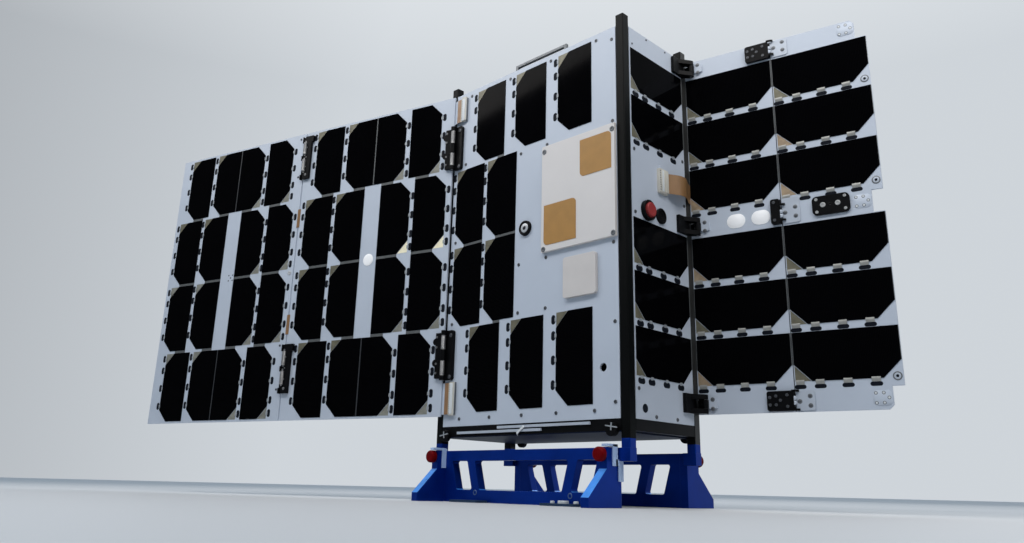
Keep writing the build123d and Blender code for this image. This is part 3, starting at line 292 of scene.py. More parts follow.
# Painted highlight: top faces in the frames' bay take the lighter blue
for name in ("cradle_front_frame", "cradle_rear_frame"):
    repaint(name, BLUE_PAINTED_HIGHLIGHT, lambda face: face.normal.z > 0.5 and abs(face.center.x) < BAY_HALF
            and BAY_LOW < face.center.z < BAY_HIGH)
# Painted highlight: the gussets' slopes take the lighter blue
repaint("cradle_gussets", BLUE_PAINTED_HIGHLIGHT, lambda face: 0.4 < face.normal.z < 0.9)
repaint("flat_connectors", PANEL, lambda face: face.center.x > 0)


# Mesh makers: shapes are given in a face's own millimetres
COIL_STEPS = 10


def rounded(x, y, width, height, radius, steps=3):
    """Outline of a rectangle with rounded corners."""
    points = []
    for k, (cx, cy) in enumerate(((1, 1), (-1, 1), (-1, -1), (1, -1))):
        for step in range(steps + 1):
            a = pi / 2 * (k + step / steps)
            points.append((x + cx * (width / 2 - radius) + radius * cos(a),
                           y + cy * (height / 2 - radius) + radius * sin(a)))
    return points


def plate(bm, outline, low, high, soften=0.0, finish=0):
    """Flat piece between two levels, with the edge of its upper face softened."""
    foot = [bm.verts.new((x, y, low)) for x, y in outline]
    head = [bm.verts.new((x, y, high)) for x, y in outline]
    top = bm.faces.new(head)
    faces = [bm.faces.new((foot[k - 1], foot[k], head[k], head[k - 1])) for k in range(len(foot))]
    for face in faces + [top, bm.faces.new(foot[::-1])]:
        face.material_index = finish
    if soften:
        bmesh.ops.bevel(bm, geom=list(top.edges), offset=soften, segments=2, profile=0.5, affect="EDGES")


def skin(bm, loops, finish):
    """Closed tube over loops of vertices, with a cap at either end."""
    faces = [bm.faces.new(loops[0][::-1]), bm.faces.new(loops[-1])]
    for low, high in zip(loops, loops[1:]):
        faces += [bm.faces.new((low[k - 1], low[k], high[k], high[k - 1])) for k in range(len(low))]
    for face in faces:
        face.material_index = finish


def lathe(bm, x, y, profile, sides=18, finish=0):
    """Turned shape round (x, y); rows of radius and level, and True where the row is a hexagon."""
    loops = []
    for radius, level, *six in profile:
        loop = []
        for k in range(sides):
            a = 2 * pi * k / sides
            r = radius * cos(pi / 6) / cos(a % (pi / 3) - pi / 6) if six else radius
            loop.append(bm.verts.new((x + r * cos(a), y + r * sin(a), level)))
        loops.append(loop)
    skin(bm, loops, finish)


def sweep(bm, path, section, finish=0):
    """Section of (side, up) pairs carried along a path of points, with its first turn kept."""
    points = [Vector(p) for p in path]
    loops, side = [], None
    for k, point in enumerate(points):
        ahead = (points[min(k + 1, len(points) - 1)] - points[max(k - 1, 0)]).normalized()
        side = ahead.orthogonal() if side is None else side
        side = (side - ahead * side.dot(ahead)).normalized()
        up = ahead.cross(side)
        loops.append([bm.verts.new(point + side * a + up * b) for a, b in section])
    skin(bm, loops, finish)


def wire(bm, path, radius, sides=8, finish=0):
    """Round wire along a path."""
    sweep(bm, path, [(radius * cos(2 * pi * k / sides), radius * sin(2 * pi * k / sides)) for k in range(sides)],
          finish)


def ribbon(bm, path, across, width, thickness, finish=0):
    """Band along a path, as wide as given in the direction across."""
    points = [Vector(p) for p in path]
    half = Vector(across).normalized() * width / 2
    loops = []
    for k, point in enumerate(points):
        ahead = points[min(k + 1, len(points) - 1)] - points[max(k - 1, 0)]
        rise = half.cross(ahead).normalized() * thickness / 2
        loops.append([bm.verts.new(point + a * half + b * rise) for a, b in ((1, 1), (-1, 1), (-1, -1), (1, -1))])
    skin(bm, loops, finish)


def coil(bm, x, low, high, level, radius, wire_radius, turns, finish=0):
    """Spring round an upright pin."""
    steps = COIL_STEPS * turns
    path = [(x + radius * cos(2 * pi * k / COIL_STEPS), low + (high - low) * k / steps,
             level + radius * sin(2 * pi * k / COIL_STEPS)) for k in range(steps + 1)]
    wire(bm, path, wire_radius, 6, finish)


def screw(bm, x, y, radius, level=0.0, finish=0):
    """Low cap screw with a hexagon socket."""
    lathe(bm, x, y, [(radius, level), (radius, level + 0.35), (0.86 * radius, level + 0.6),
                     (0.5 * radius, level + 0.6, True), (0.45 * radius, level + 0.15, True)], 18, finish)


def piece(bm, name, place, finishes, body=None, blend=None):
    """Turns a finished bmesh into an object of the scene, which rides a body, or, given a blend, keeps its place
    baked in and rides no body.
    """
    bmesh.ops.recalc_face_normals(bm, faces=bm.faces)
    mesh = bpy.data.meshes.new(name)
    bm.to_mesh(mesh)
    bm.free()
    mesh.transform(place)
    mesh.shade_smooth()
    mesh.set_sharp_from_angle(angle=radians(35))
    for finish in finishes:
        mesh.materials.append(finish)
    obj = bpy.data.objects.new(name, mesh)
    bpy.context.scene.collection.objects.link(obj)
    if blend:
        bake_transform(obj)
    else:
        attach(obj, body)


# Solar cells: (kind, x, y) of each cell's middle, where kind is the side of its cut edge. The slots, tabs and
# corner films stand along that edge.
def spot(cell, u, v):
    """Place u along the cut edge from the film's corner and v out of the cell."""
    kind, x, y = cell
    if kind == "left":
        return (x - CELL_SHORT / 2 - v, y + CELL_LONG / 2 - u)
    if kind == "right":
        return (x + CELL_SHORT / 2 + v, y - CELL_LONG / 2 + u)
    return (x - CELL_LONG / 2 + u, y - CELL_SHORT / 2 - v)


# Front cells: the top of their field, the pitch of the rows, and x of each row's right edges
FRONT_TOP = 406.3
FRONT_PITCH = 82.5
FRONT_EDGES = ((-32.29, 22.40, 77.30), (-59.29, -14.60), (-59.29, -14.60), (-32.29, 22.40, 77.30))
front_cells = [("left", edge - CELL_SHORT / 2, FRONT_TOP - row * FRONT_PITCH - CELL_LONG / 2)
               for row, edges in enumerate(FRONT_EDGES) for edge in edges]
# Side and right wing: tops of the rows; the side has no cell in its open row, where the ports and connector are
SIDE_TOPS = (391.2, 345.0, 298.8, 232.6, 186.4, 140.2)
OPEN_ROW = 2
side_tops = [top for row, top in enumerate(SIDE_TOPS) if row != OPEN_ROW]
side_cells = [("foot", 0, top - CELL_SHORT / 2) for top in side_tops]
inner_cells = [("foot", RIGHT_INNER_MIDDLE, top - CELL_SHORT / 2) for top in SIDE_TOPS]
outer_cells = [("foot", RIGHT_OUTER_MIDDLE, top - CELL_SHORT / 2) for top in SIDE_TOPS]
# Left wing: feet of the rows, and the offsets of each row's cells from the panel's middle
WING_FEET = (327.6, 244.6, 161.6, 78.6)
WING_OFFSETS = ((20.75, 67.15), (31.25, 76.45), (31.25, 76.45), (20.75, 67.15))
wide_cells = [("left" if side < 0 else "right", side * offset, foot + CELL_LONG / 2)
              for foot, offsets in zip(WING_FEET, WING_OFFSETS) for offset in offsets for side in (-1, 1)]
left_inner_cells = [(kind, LEFT_INNER_MIDDLE + x, y) for kind, x, y in wide_cells]
left_outer_cells = [(kind, LEFT_OUTER_MIDDLE + x, y) for kind, x, y in wide_cells]

# Body, place, cells, the slots' places along the edge, their middle out from it, length and width
CELL_FIELDS = (
    ("bus", FRONT, front_cells, (6.0, 20.0, 41.0, 62.0), 3.3, 8.4, 4.6),
    ("bus", RIGHT, side_cells, (7.0, 21.0, 42.0, 63.0), 3.5, 9.6, 5.0),
    ("left_inner_wing", LEFT_WING, left_inner_cells, (6.0, 20.0, 41.0, 62.0), 3.3, 8.4, 4.4),
    ("left_outer_wing", LEFT_WING, left_outer_cells, (6.0, 20.0, 41.0, 62.0), 3.3, 8.4, 4.4),
    ("right_inner_wing", RIGHT_WING, inner_cells, (4.7, 19.7, 40.7, 62.2), 4.2, 9.2, 3.4),
    ("right_outer_wing", RIGHT_WING, outer_cells, (3.9, 19.4, 40.4, 60.9), 4.2, 9.2, 3.4),
)
# Tabs are bent strips: the bend as (out from the edge, level), the width and the finish
LYING_TAB = (((2.4, 0.08), (1.5, 0.42), (0.5, 0.72), (-0.4, 0.68), (-1.2, 0.42)), 6.6, TAB)
UPRIGHT_TAB = (((1.7, 0.08), (1.1, 0.3), (0.3, 0.55), (-0.7, 0.46)), 3.4, DULL)
TAB_THICKNESS = 0.14
# Corner films: their corners as (along, out), and the numbers of the cells whose film has an odd tone
FILM_CORNERS = ((0.2, -0.2), (12.6, -0.2), (0.2, -12.6))
FILMS = (GOLD, AMBER, PALE_FILM, CREAM_FILM)
AMBER_FILMS = {"right_inner_wing": (2, 3, 5), "right_outer_wing": (1, 2)}
CREAM_FILMS = {"left_inner_wing": (5, 7)}


def film_finish(body, kind, number):
    """Index in FILMS of a cell's corner film."""
    if number in CREAM_FILMS.get(body, ()):
        return 3
    if number in AMBER_FILMS.get(body, ()):
        return 1
    return 2 if kind == "right" or body == "left_outer_wing" and number > 7 else 0


for body, place, cells, along, reach, length, width in CELL_FIELDS:
    slots, tabs, films = bmesh.new(), bmesh.new(), bmesh.new()
    bend, tab_width, tab_finish = LYING_TAB if place is RIGHT_WING else UPRIGHT_TAB
    for number, cell in enumerate(cells):
        sideways = cell[0] == "foot"
        for u in along:
            x, y = spot(cell, u, reach)
            size = (length, width) if sideways else (width, length)
            plate(slots, rounded(x, y, *size, width / 2 - 0.05), -0.15, 0.06)
            path = [(*spot(cell, u, v), level) for v, level in bend]
            ribbon(tabs, path, (1, 0, 0) if sideways else (0, 1, 0), tab_width, TAB_THICKNESS)
        corner = [spot(cell, u, v) for u, v in FILM_CORNERS]
        plate(films, corner, -0.1, 0.12, finish=film_finish(body, cell[0], number))
    tag = body + ("_side_" if place is RIGHT else "_")
    piece(slots, tag + "cell_slots", place, (HOLE,), body)
    piece(tabs, tag + "cell_tabs", place, (tab_finish,), body)
    piece(films, tag + "corner_films", place, FILMS, body)

# Film in the narrow gaps between cells: left, right, foot and top of each strip. The strips down the middle of the
# left wing's panels, MIDLINE to either side, are dark, apart from the inner panel's upper one.
MIDLINE = 0.7
THIN_GAP = 0.5
WIDE_GAPS = [(side * a, side * b, low, high) for side in (-1, 1) for a, b, low, high in (
    (11.25, 27.25, 324.7, 327.5), (56.45, 73.65, 324.7, 327.5), (11.25, 37.75, 241.7, 244.5),
    (56.45, 82.95, 241.7, 244.5), (11.25, 27.25, 158.7, 161.5), (56.45, 73.65, 158.7, 161.5))]
WIDE_GAPS += [(-MIDLINE, MIDLINE, foot, foot + CELL_LONG) for foot in (WING_FEET[0], WING_FEET[-1])]
FRONT_GAPS = ((-85.8, -59.3, 241.4, 243.7), (-41.1, -14.6, 241.4, 243.7), (-41.1, -32.3, 323.9, 326.2),
              (-41.1, -32.3, 158.9, 161.2))
SIDE_GAPS = [(40.0, 41.4, top - CELL_SHORT + CORNER, top) for top in side_tops]
INNER_GAPS = [(x, x + THIN_GAP, top - CELL_SHORT + CORNER, top) for x in (-7.2, 73.3) for top in SIDE_TOPS]
OUTER_GAPS = [(x, x + THIN_GAP, top - CELL_SHORT + CORNER, top) for x in (74.6, 155.0) for top in SIDE_TOPS]
for body, place, middle, gaps in (("bus", FRONT, 0.0, FRONT_GAPS), ("bus", RIGHT, 0.0, SIDE_GAPS),
                                  ("left_inner_wing", LEFT_WING, LEFT_INNER_MIDDLE, WIDE_GAPS),
                                  ("left_outer_wing", LEFT_WING, LEFT_OUTER_MIDDLE, WIDE_GAPS),
                                  ("right_inner_wing", RIGHT_WING, 0.0, INNER_GAPS),
                                  ("right_outer_wing", RIGHT_WING, 0.0, OUTER_GAPS)):
    bm = bmesh.new()
    for left, right, low, high in gaps:
        outline = [(middle + left, low), (middle + right, low), (middle + right, high), (middle + left, high)]
        dark = left == -MIDLINE and not (body == "left_inner_wing" and low == WING_FEET[0])
        plate(bm, outline, -0.1, 0.25, finish=1 if dark else 0)
    tag = "side" if gaps is SIDE_GAPS else body
    piece(bm, tag + "_gap_films", place, (GAP, CELL_EDGE), body)

# Film in the right wing's seam, behind the gap between its two panels
bm = bmesh.new()
plate(bm, rounded(RIGHT_SEAM, (SEAM_FOOT + SEAM_TOP) / 2, 0.6, SEAM_TOP - SEAM_FOOT, 0.1, 1), -1.6, -0.2)
piece(bm, "right_seam_film", RIGHT_WING, (CELL_EDGE,), "right_inner_wing")


# Screws of the faces
def screws(name, body, place, spots, finish=STEEL, level=0.0):
    """Cap screws at spots of x, height and radius."""
    bm = bmesh.new()
    for x, y, radius in spots:
        screw(bm, x, y, radius, level)
    piece(bm, name, place, (finish,), body)


screws("front_screws", "bus", FRONT, [(x, z, 1.6) for x, z in (
    (-9, 319.5), (24.5, 319.5), (100.5, 320), (-9, 209.5), (24.5, 210.5), (100, 210.5), (-9, 164.5), (24.5, 164.5),
    (100.5, 143.5), (100, 79.5), (100.5, 399.5), (-87.5, 329.5), (-98, 247.5), (-98, 164.5), (-82, 405), (-26, 405),
    (28, 405), (83, 405), (-82, 73.5), (-42, 73.5), (-2, 73.5), (38, 73.5), (79, 73.5))])
screws("plate_screws", "bus", FRONT, [(x, z, 2.4) for x in (23.9, 102.0) for z in (217.3, 311.0)], GREY, 3.0)
screws("side_screws", "bus", RIGHT, [(y, z, 1.6) for y, z in (
    (-37, 294.5), (-37, 237.5), (-37, 90.5), (38, 305.5), (-14, 69.8), (16, 69.8), (38, 262))]
    + [(y, z, 0.9) for y, z in ((-15, 409), (15, 409), (-37, 396))])
EDGE_ROWS = (73.5, 143.5, 210, 276, 340, 405)
screws("back_screws", "bus", BACK, [(x, z, 1.6) for x in (-100, 100) for z in EDGE_ROWS]
       + [(x, z, 1.6) for x in (-50, 0, 50) for z in (73.5, 405)])
screws("left_side_screws", "bus", LEFT, [(y, z, 1.6) for y in (-37, 37) for z in EDGE_ROWS])
screws("top_screws", "bus", TOP, [(x, y, 1.6) for x in (-95, -50, 0, 50, 95) for y in (-44.5, 44.5)]
       + [(x, y, 1.6) for x in (-107, 107) for y in (-20, 20)])

# Front fittings: sun sensor's face and the flat connectors' latches, contacts and side bars
SENSOR = (-1.0, 243.0)
bm = bmesh.new()
lathe(bm, *SENSOR, [(7.0, 1.5), (6.9, 2.1), (5.6, 2.2), (5.2, 1.7)], 36, 0)
lathe(bm, *SENSOR, [(4.4, 1.5), (4.4, 1.9), (3.9, 2.2), (2.2, 2.2)], 36, 1)
lathe(bm, *SENSOR, [(2.2, 1.6), (2.0, 2.25), (1.2, 2.45), (0.4, 2.5)], 24, 2)
piece(bm, "sensor_face", FRONT, (BLACK, BRIGHT, LENS), "bus")
bm = bmesh.new()
for foot, tall in ((377.9, 27.0), (77.2, 31.0)):
    plate(bm, rounded(-91.6, foot + tall / 2, 4.0, tall - 2.4, 0.8), 2.9, 3.4, 0.2, 0)
    for k in range(int(tall / 2) - 1):
        plate(bm, rounded(-94.1, foot + 2 + 2 * k, 0.6, 1.0, 0.2, 1), 2.9, 3.1, 0.0, 1)
    plate(bm, rounded(-88.4, foot + tall / 2, 1.2, tall - 0.6, 0.3), -0.1, 2.4, 0.2, 2)
piece(bm, "connector_latches", FRONT, (WHITE, STEEL, GREY), "bus")

# Side fittings: rims of both ports, the hole at the foot, the cap's ribs and the connector's housing
PORT_Z = 242.5
CAP_Y = -20.0
CAP_RIBS = 24
RIB_CIRCLE = 6.25
bm = bmesh.new()
lathe(bm, CAP_Y, PORT_Z, [(9.05, 2.7), (9.05, 3.3), (8.5, 3.6), (7.4, 3.6), (7.2, 2.9)], 42, 0)
lathe(bm, 0.0, PORT_Z, [(7.05, 0.8), (7.05, 1.6), (6.4, 2.0), (5.3, 2.0), (5.0, 1.0)], 36, 0)
lathe(bm, 0.0, PORT_Z, [(4.9, 0.9), (4.9, 1.25), (4.2, 1.4), (1.6, 1.4), (1.5, 1.1)], 30, 0)
lathe(bm, -29.0, 75.5, [(3.5, -0.1), (3.5, 0.1), (3.2, 0.15)], 24, 2)
lathe(bm, CAP_Y, PORT_Z, [(4.6, 5.6), (4.5, 5.9), (3.9, 5.95), (3.6, 5.7)], 30, 3)
for k in range(CAP_RIBS):
    a = 2 * pi * k / CAP_RIBS
    lathe(bm, CAP_Y + RIB_CIRCLE * cos(a), PORT_Z + RIB_CIRCLE * sin(a), [(0.4, 3.0), (0.4, 4.9), (0.2, 5.2)], 6, 3)
piece(bm, "port_rims", RIGHT, (BLACK, GREY, HOLE, RED_CAP), "bus")
bm = bmesh.new()
plate(bm, rounded(2.9, 275.1, 12.8, 22.8, 0.8), -0.05, 3.1, 0.3, 0)
plate(bm, rounded(6.6, 275.1, 4.6, 20.6, 0.6), 3.0, 3.9, 0.25, 0)
plate(bm, rounded(1.2, 275.1, 3.4, 20.0, 0.6), 3.0, 3.5, 0.2, 1)
for k in range(9):
    plate(bm, rounded(-2.4, 266.4 + 2.2 * k, 1.2, 1.0, 0.2, 1), 3.0, 3.3, 0.0, 2)
piece(bm, "side_connector_housing", RIGHT, (CREAM_PLASTIC, WHITE, GREY), "bus")

# Left wing: springs and screws of the root and seam hinges, set out from each hinge's foot. The seam's pin is given
# as (along, level).
ROOT_FEET = (325.9, 110.3)
SEAM_FEET = (351.2, 104.9)
SEAM_PIN = (-208.4, 2.6)
bm = bmesh.new()
for foot in ROOT_FEET:
    for low, high in ((foot + 5.5, foot + 20.0), (foot + 29.5, foot + 44.0)):
        coil(bm, 0.0, low - 1.2, high - 1.2, PIN_RISE, 2.1, 0.42, 12)
piece(bm, "left_root_springs", LEFT_WING, (SPRING,), "bus")
screws("bus_leaf_screws", "bus", FRONT, [
    (x, foot + dz, 1.9) for foot in ROOT_FEET for x, dz in ((-95.4, 43.0), (-95.0, 3.0))], STEEL, 3.0)
screws("wing_leaf_screws", "left_inner_wing", LEFT_WING, [
    (-8.0, foot + dz, 1.1) for foot in ROOT_FEET for dz in (42.0, 32.0, 16.0, 7.0)], SPRING, 3.0)
bm = bmesh.new()
for foot in SEAM_FEET:
    for low, high in ((foot + 9.8, foot + 24.3), (foot + 30.8, foot + 45.8)):
        coil(bm, SEAM_PIN[0], low, high, SEAM_PIN[1], 2.1, 0.5, 12)
        wire(bm, [(SEAM_PIN[0], z, SEAM_PIN[1]) for z in (low - 2.0, (low + high) / 2, high + 2.0)], 1.2)
    screw(bm, -204.5, foot + 5.0, 1.5, 3.0)
    for dz in (15.0, 27.0, 39.0):
        screw(bm, -205.6, foot + dz, 0.8, 3.0)
piece(bm, "left_seam_springs", LEFT_WING, (SPRING,), "left_inner_wing")
bm = bmesh.new()
for foot in SEAM_FEET:
    for x, dz in ((-219.0, 52.8), (-218.0, 4.8)):
        screw(bm, x, foot + dz, 1.3, 0.0)
    plate(bm, rounded(-212.2, foot + 28.0, 3.4, 45.0, 0.8), -0.05, 0.7, 0.2, 1)
piece(bm, "left_outer_seam_screws", LEFT_WING, (STEEL, BLACK), "left_outer_wing")

# Left wing: white dot, vent pattern and light ring
bm = bmesh.new()
lathe(bm, -104.0, 242.5, [(6.6, -0.05), (6.6, 0.2), (6.3, 0.35), (3.0, 0.42)], 36)
piece(bm, "left_inner_dot", LEFT_WING, (DOT,), "left_inner_wing")
bm = bmesh.new()
for dx, dz in ((0, 0), (3.2, 3.2), (-3.2, 3.2), (3.2, -3.2), (-3.2, -3.2)):
    lathe(bm, -310.3 + dx, 244.0 + dz, [(0.9, -0.05), (0.9, 0.05), (0.7, 0.08)], 12)
piece(bm, "left_outer_vents", LEFT_WING, (HOLE,), "left_outer_wing")
bm = bmesh.new()
lathe(bm, -216.3, 240.0, [(2.6, -0.05), (2.6, 0.25), (2.3, 0.4), (1.7, 0.4), (1.6, 0.1)], 24)
piece(bm, "left_outer_ring", LEFT_WING, (BRIGHT,), "left_outer_wing")

# Screws of the wings' backs, in three columns; the right wing's tip has a notch in the middle row
BACK_LEVEL = -2.0
BACK_ROWS = (98.0, 168.0, 243.0, 318.0, 388.0)
NOTCH_INSET = 6.0
for body, first, last in (("left_inner_wing", -201.0, -10.0), ("left_outer_wing", -412.0, -220.0),
                          ("right_inner_wing", 2.0, 66.0), ("right_outer_wing", 82.0, 148.0)):
    bm = bmesh.new()
    place = LEFT_WING if body.startswith("left") else RIGHT_WING
    for x in (first, (first + last) / 2, last):
        for z in BACK_ROWS:
            inset = NOTCH_INSET if body == "right_outer_wing" and x == last and z == BACK_ROWS[2] else 0.0
            lathe(bm, x - inset, z, [(1.6, BACK_LEVEL), (1.6, BACK_LEVEL - 0.35), (1.35, BACK_LEVEL - 0.6),
                                     (0.8, BACK_LEVEL - 0.6, True), (0.75, BACK_LEVEL - 0.2, True)], 18)
    piece(bm, body + "_back_screws", place, (STEEL,), body)


# Right wing: rivets of the root leaves with a black plate of painted shade by them, screws of the inner plates, seam
# hooks and lobes, rivets of the outer tabs, white dots, screws of the oval plate, rings and tabs of the tip. ROWS are
# the heights of the hinges.
def rivet(bm, x, y, level):
    """Washer in the first finish and its pin in the second."""
    lathe(bm, x, y, [(1.9, level), (1.9, level + 0.1), (1.6, level + 0.15)], 18, 0)
    lathe(bm, x, y, [(1.1, level + 0.05), (1.0, level + 0.3), (0.7, level + 0.35)], 12, 1)


ROOT_ROWS = (401.0, 242.5, 84.7)
SEAM_ROWS = (400.95, 245.7, 85.25)
bm = bmesh.new()
for z in ROOT_ROWS:
    for x, dz in ((-2.0, 0.0), (6.0, 3.9), (6.0, -3.9)):
        rivet(bm, x, z + dz, 1.45)
    # Thin black plate over the leaf by the knuckle: painted shade of the hinge's gap
    plate(bm, rounded(-3.4, z, 7.0, 8.4, 1.0), 1.4, 1.56, 0.0, 2)
piece(bm, "root_leaf_rivets_and_painted_shade", RIGHT_WING, (GREY, STEEL, BLACK), "right_inner_wing")
screws("inner_plate_screws", "right_inner_wing", RIGHT_WING, [
    (x, z + dz, 1.25) for z in (SEAM_ROWS[0], SEAM_ROWS[2])
    for x, dz in ((59.5, 4.0), (54.6, 3.0), (63.0, 0.5), (59.5, -3.0), (54.6, -3.0), (68.5, 4.6), (68.5, -4.6))]
    + [(68.6, SEAM_ROWS[1] + dz, 1.3) for dz in (8.3, -7.7)], STEEL, 3.0)
bm = bmesh.new()
for z, hooks in ((400.5, (9.0, -4.5)), (243.2, (8.3, -5.5)), (85.0, (8.0, -7.0))):
    for dz in hooks:
        ribbon(bm, [(72.0, z + dz, 2.6), (74.5, z + dz, 2.6), (76.4, z + dz, 2.2), (77.6, z + dz, 1.2)], (0, 1, 0),
               1.8, 0.9, 0)
piece(bm, "seam_hooks", RIGHT_WING, (BLACK,), "right_inner_wing")
bm = bmesh.new()
for z in (400.5, 243.2, 85.3):
    for dz in (-1.9, 1.9):
        plate(bm, rounded(73.9, z + dz, 4.0, 3.3, 1.6, 5), 2.2, 2.9, 0.2, 0)
piece(bm, "seam_lobes", RIGHT_WING, (LIGHT,), "right_outer_wing")
bm = bmesh.new()
for z, spots in ((402.2, ((77.9, 0.0), (85.7, 3.9), (85.7, -3.9))),
                 (244.0, ((77.4, 0.0), (86.0, 4.0), (86.0, -4.0))),
                 (85.0, ((77.8, -0.5), (86.0, 3.5), (86.0, -4.0)))):
    for x, dz in spots:
        rivet(bm, x, z + dz, 0.75)
piece(bm, "tab_rivets", RIGHT_WING, (GREY, STEEL), "right_outer_wing")
bm = bmesh.new()
for x in (34.3, 56.2):
    plate(bm, rounded(x, 243.5, 16.5, 12.8, 6.2, 8), -0.05, 0.3, 0.12)
piece(bm, "right_inner_dots", RIGHT_WING, (DOT,), "right_inner_wing")
bm = bmesh.new()
for x, z, radius in ((103.6, 250.6, 1.3), (126.4, 250.6, 1.3), (103.6, 239.6, 1.3), (126.4, 239.6, 1.3),
                     (108.7, 245.3, 2.2), (120.6, 245.3, 2.2)):
    screw(bm, x, z, radius, 2.0)
lathe(bm, 114.6, 245.0, [(1.6, 2.0), (1.6, 2.2), (1.2, 2.3), (0.8, 2.1)], 18, 1)
piece(bm, "oval_plate_screws", RIGHT_WING, (SILVER, BLACK), "right_outer_wing")
bm = bmesh.new()
for x, z in ((151.0, 351.8), (151.3, 260.2), (151.3, 101.2)):
    lathe(bm, x, z, [(3.4, -0.05), (3.4, 0.15), (3.2, 0.25), (2.6, 0.25), (2.5, 0.05)], 30, 0)
    lathe(bm, x, z, [(2.5, -0.05), (2.5, 0.2), (2.2, 0.3), (1.2, 0.3), (1.1, 0.0)], 24, 1)
    lathe(bm, x, z, [(1.1, -0.05), (1.1, 0.1), (0.9, 0.12)], 18, 2)
piece(bm, "tip_rings", RIGHT_WING, (GREY, LIGHT, HOLE), "right_outer_wing")
TIP_TAB = 139.3
bm = bmesh.new()
for z in (402.5, 244.0, 85.2):
    plate(bm, rounded(TIP_TAB, z, 13.6, 11.6, 3.5, 5), -0.05, 0.3, 0.1, 0)
    for dx, dz in ((-4.6, 3.8), (-4.6, -3.8), (1.0, 3.8), (1.0, -3.8), (4.6, 0.0)):
        lathe(bm, TIP_TAB + dx, z + dz, [(1.35, 0.2), (1.35, 0.34), (1.2, 0.4), (0.9, 0.4), (0.85, 0.3)], 16, 1)
        lathe(bm, TIP_TAB + dx, z + dz, [(0.85, 0.2), (0.85, 0.34), (0.7, 0.36)], 12, 2)
piece(bm, "tip_tabs", RIGHT_WING, (PANEL, GREY, WHITE), "right_outer_wing")

# Bottom of the bus: crosses on the bosses and the tie over the antenna strips
bm = bmesh.new()
for x, z, hand in ((98.6, 60.4, 1), (-97.7, 59.2, -1)):
    for angle, length, width in ((-9, 11.5, 0.9), (84, 6.0, 1.0)):
        a = radians(angle * hand)
        across = Vector((cos(a), sin(a), 0)) * length / 2
        middle = Vector((x, z, 4.35))
        ribbon(bm, [middle - across, middle + Vector((0, 0, 0.25)), middle + across],
               (-sin(a), cos(a), 0), width, 0.5)
piece(bm, "boss_crosses", FRONT, (DULL,), "bus")
bm = bmesh.new()
ribbon(bm, [(3.2, 64.4, 0.4), (2.2, 63.4, 2.1), (0.0, 61.6, 2.3), (-4.8, 58.1, 2.2), (-6.2, 57.1, 0.4)],
       (0.58, -0.81, 0), 2.0, 0.5)
piece(bm, "strip_tie", FRONT, (WHITE,), "bus")

# Cradle: pale clips, ring screws of the front frame, and bolts on the front right flange. Arms of the clips: their
# two ends, the way across, the width and the thickness.
CLIP_ARMS = (
    ((102.0, -54.3, 46.6), (102.0, -54.3, 30.6), (0, 1, 0), 6.0, 1.0),
    ((99.4, -63.5, 46.0), (99.4, -51.3, 46.0), (1, 0, 0), 6.2, 1.8),
    ((102.0, -50.3, 35.6), (102.0, -50.3, 30.6), (0, 1, 0), 6.4, 1.0),
    ((102.2, -47.4, 34.7), (102.2, -47.4, 19.2), (0, 1, 0), 5.6, 1.0),
    ((-95.9, -69.2, 45.9), (-95.9, -54.2, 45.9), (1, 0, 0), 4.8, 2.0),
    ((-93.5, -56.0, 46.4), (-93.5, -56.0, 29.2), (0, 1, 0), 5.6, 1.0),
)
bm = bmesh.new()
for start, end, across, width, thickness in CLIP_ARMS:
    ribbon(bm, [start, end], across, width, thickness)
piece(bm, "cradle_clips", UPRIGHT, (CLIP,), "bus")
bm = bmesh.new()
for x, z in ((56.9, 7.8), (-52.8, 8.4)):
    lathe(bm, x, z, [(2.3, -0.05), (2.3, 0.2), (2.1, 0.35), (1.6, 0.35), (1.5, 0.1)], 24, 0)
    lathe(bm, x, z, [(1.5, -0.05), (1.5, 0.15), (1.2, 0.2)], 18, 1)
piece(bm, "frame_screws", FRAME_FRONT, (RING, BLUE), "bus")
FLANGE_ROW = -61.0
bm = bmesh.new()
lathe(bm, 56.0, FLANGE_ROW, [(4.5, 0.0), (4.5, 1.7), (4.0, 2.2), (2.3, 2.2, True), (2.2, 1.2, True)], 24)
for x, radius in ((44.5, 1.8), (69.0, 2.1)):
    lathe(bm, x, FLANGE_ROW, [(radius, 0.0), (radius, 1.4), (0.8 * radius, 1.9), (0.45 * radius, 1.9, True),
                              (0.4 * radius, 1.2, True)], 18)
piece(bm, "flange_bolts", FLANGE_TOP, (WHITE,), "bus")


# Flexes: bus to the wings' roots, and across the left wing's seam
def on_wing(place, s, z, level):
    """Point of a wing in the scene's millimetres."""
    return place @ Vector((s, z, level)) / MM


for tag, low, high in (("top", 378.4, 404.4), ("foot", 78.0, 107.4)):
    middle = (low + high) / 2
    bm = bmesh.new()
    end = on_wing(LEFT_WING, -1.7, middle, -1.2)
    path = [(-93.6, -52.6, middle), (-94.3, -52.8, middle), (-95.2, -53.0, middle), (-98.6, -53.1, middle),
            (-100.6, -53.0, middle), (-101.6, -52.8, middle), (-102.8, -52.4, middle), tuple(end)]
    for part, finish in ((path[:3], 2), (path[2:5], 0), (path[4:], 1)):
        ribbon(bm, part, (0, 0, 1), high - low, 0.25, finish)
    piece(bm, "left_root_flex_" + tag, UPRIGHT, (FLEX_PALE, PANEL, CREAM_PLASTIC), blend=(
        "bus", "left_inner_wing", (-0.098, -0.0525, middle * MM), tuple(end * MM)))
bm = bmesh.new()
end = on_wing(RIGHT_WING, -7.0, 275.0, -1.0)
path = [(HALF_WIDTH + level, y, 274.9) for y, level in (
    (8.6, 3.0), (11.0, 3.6), (15.0, 5.8), (19.0, 8.0), (23.0, 9.2), (27.5, 9.0), (32.0, 7.6), (37.0, 5.2),
    (41.6, 2.9))]
ribbon(bm, path + [tuple(end)], (0, 0, 1), 18.5, 0.3)
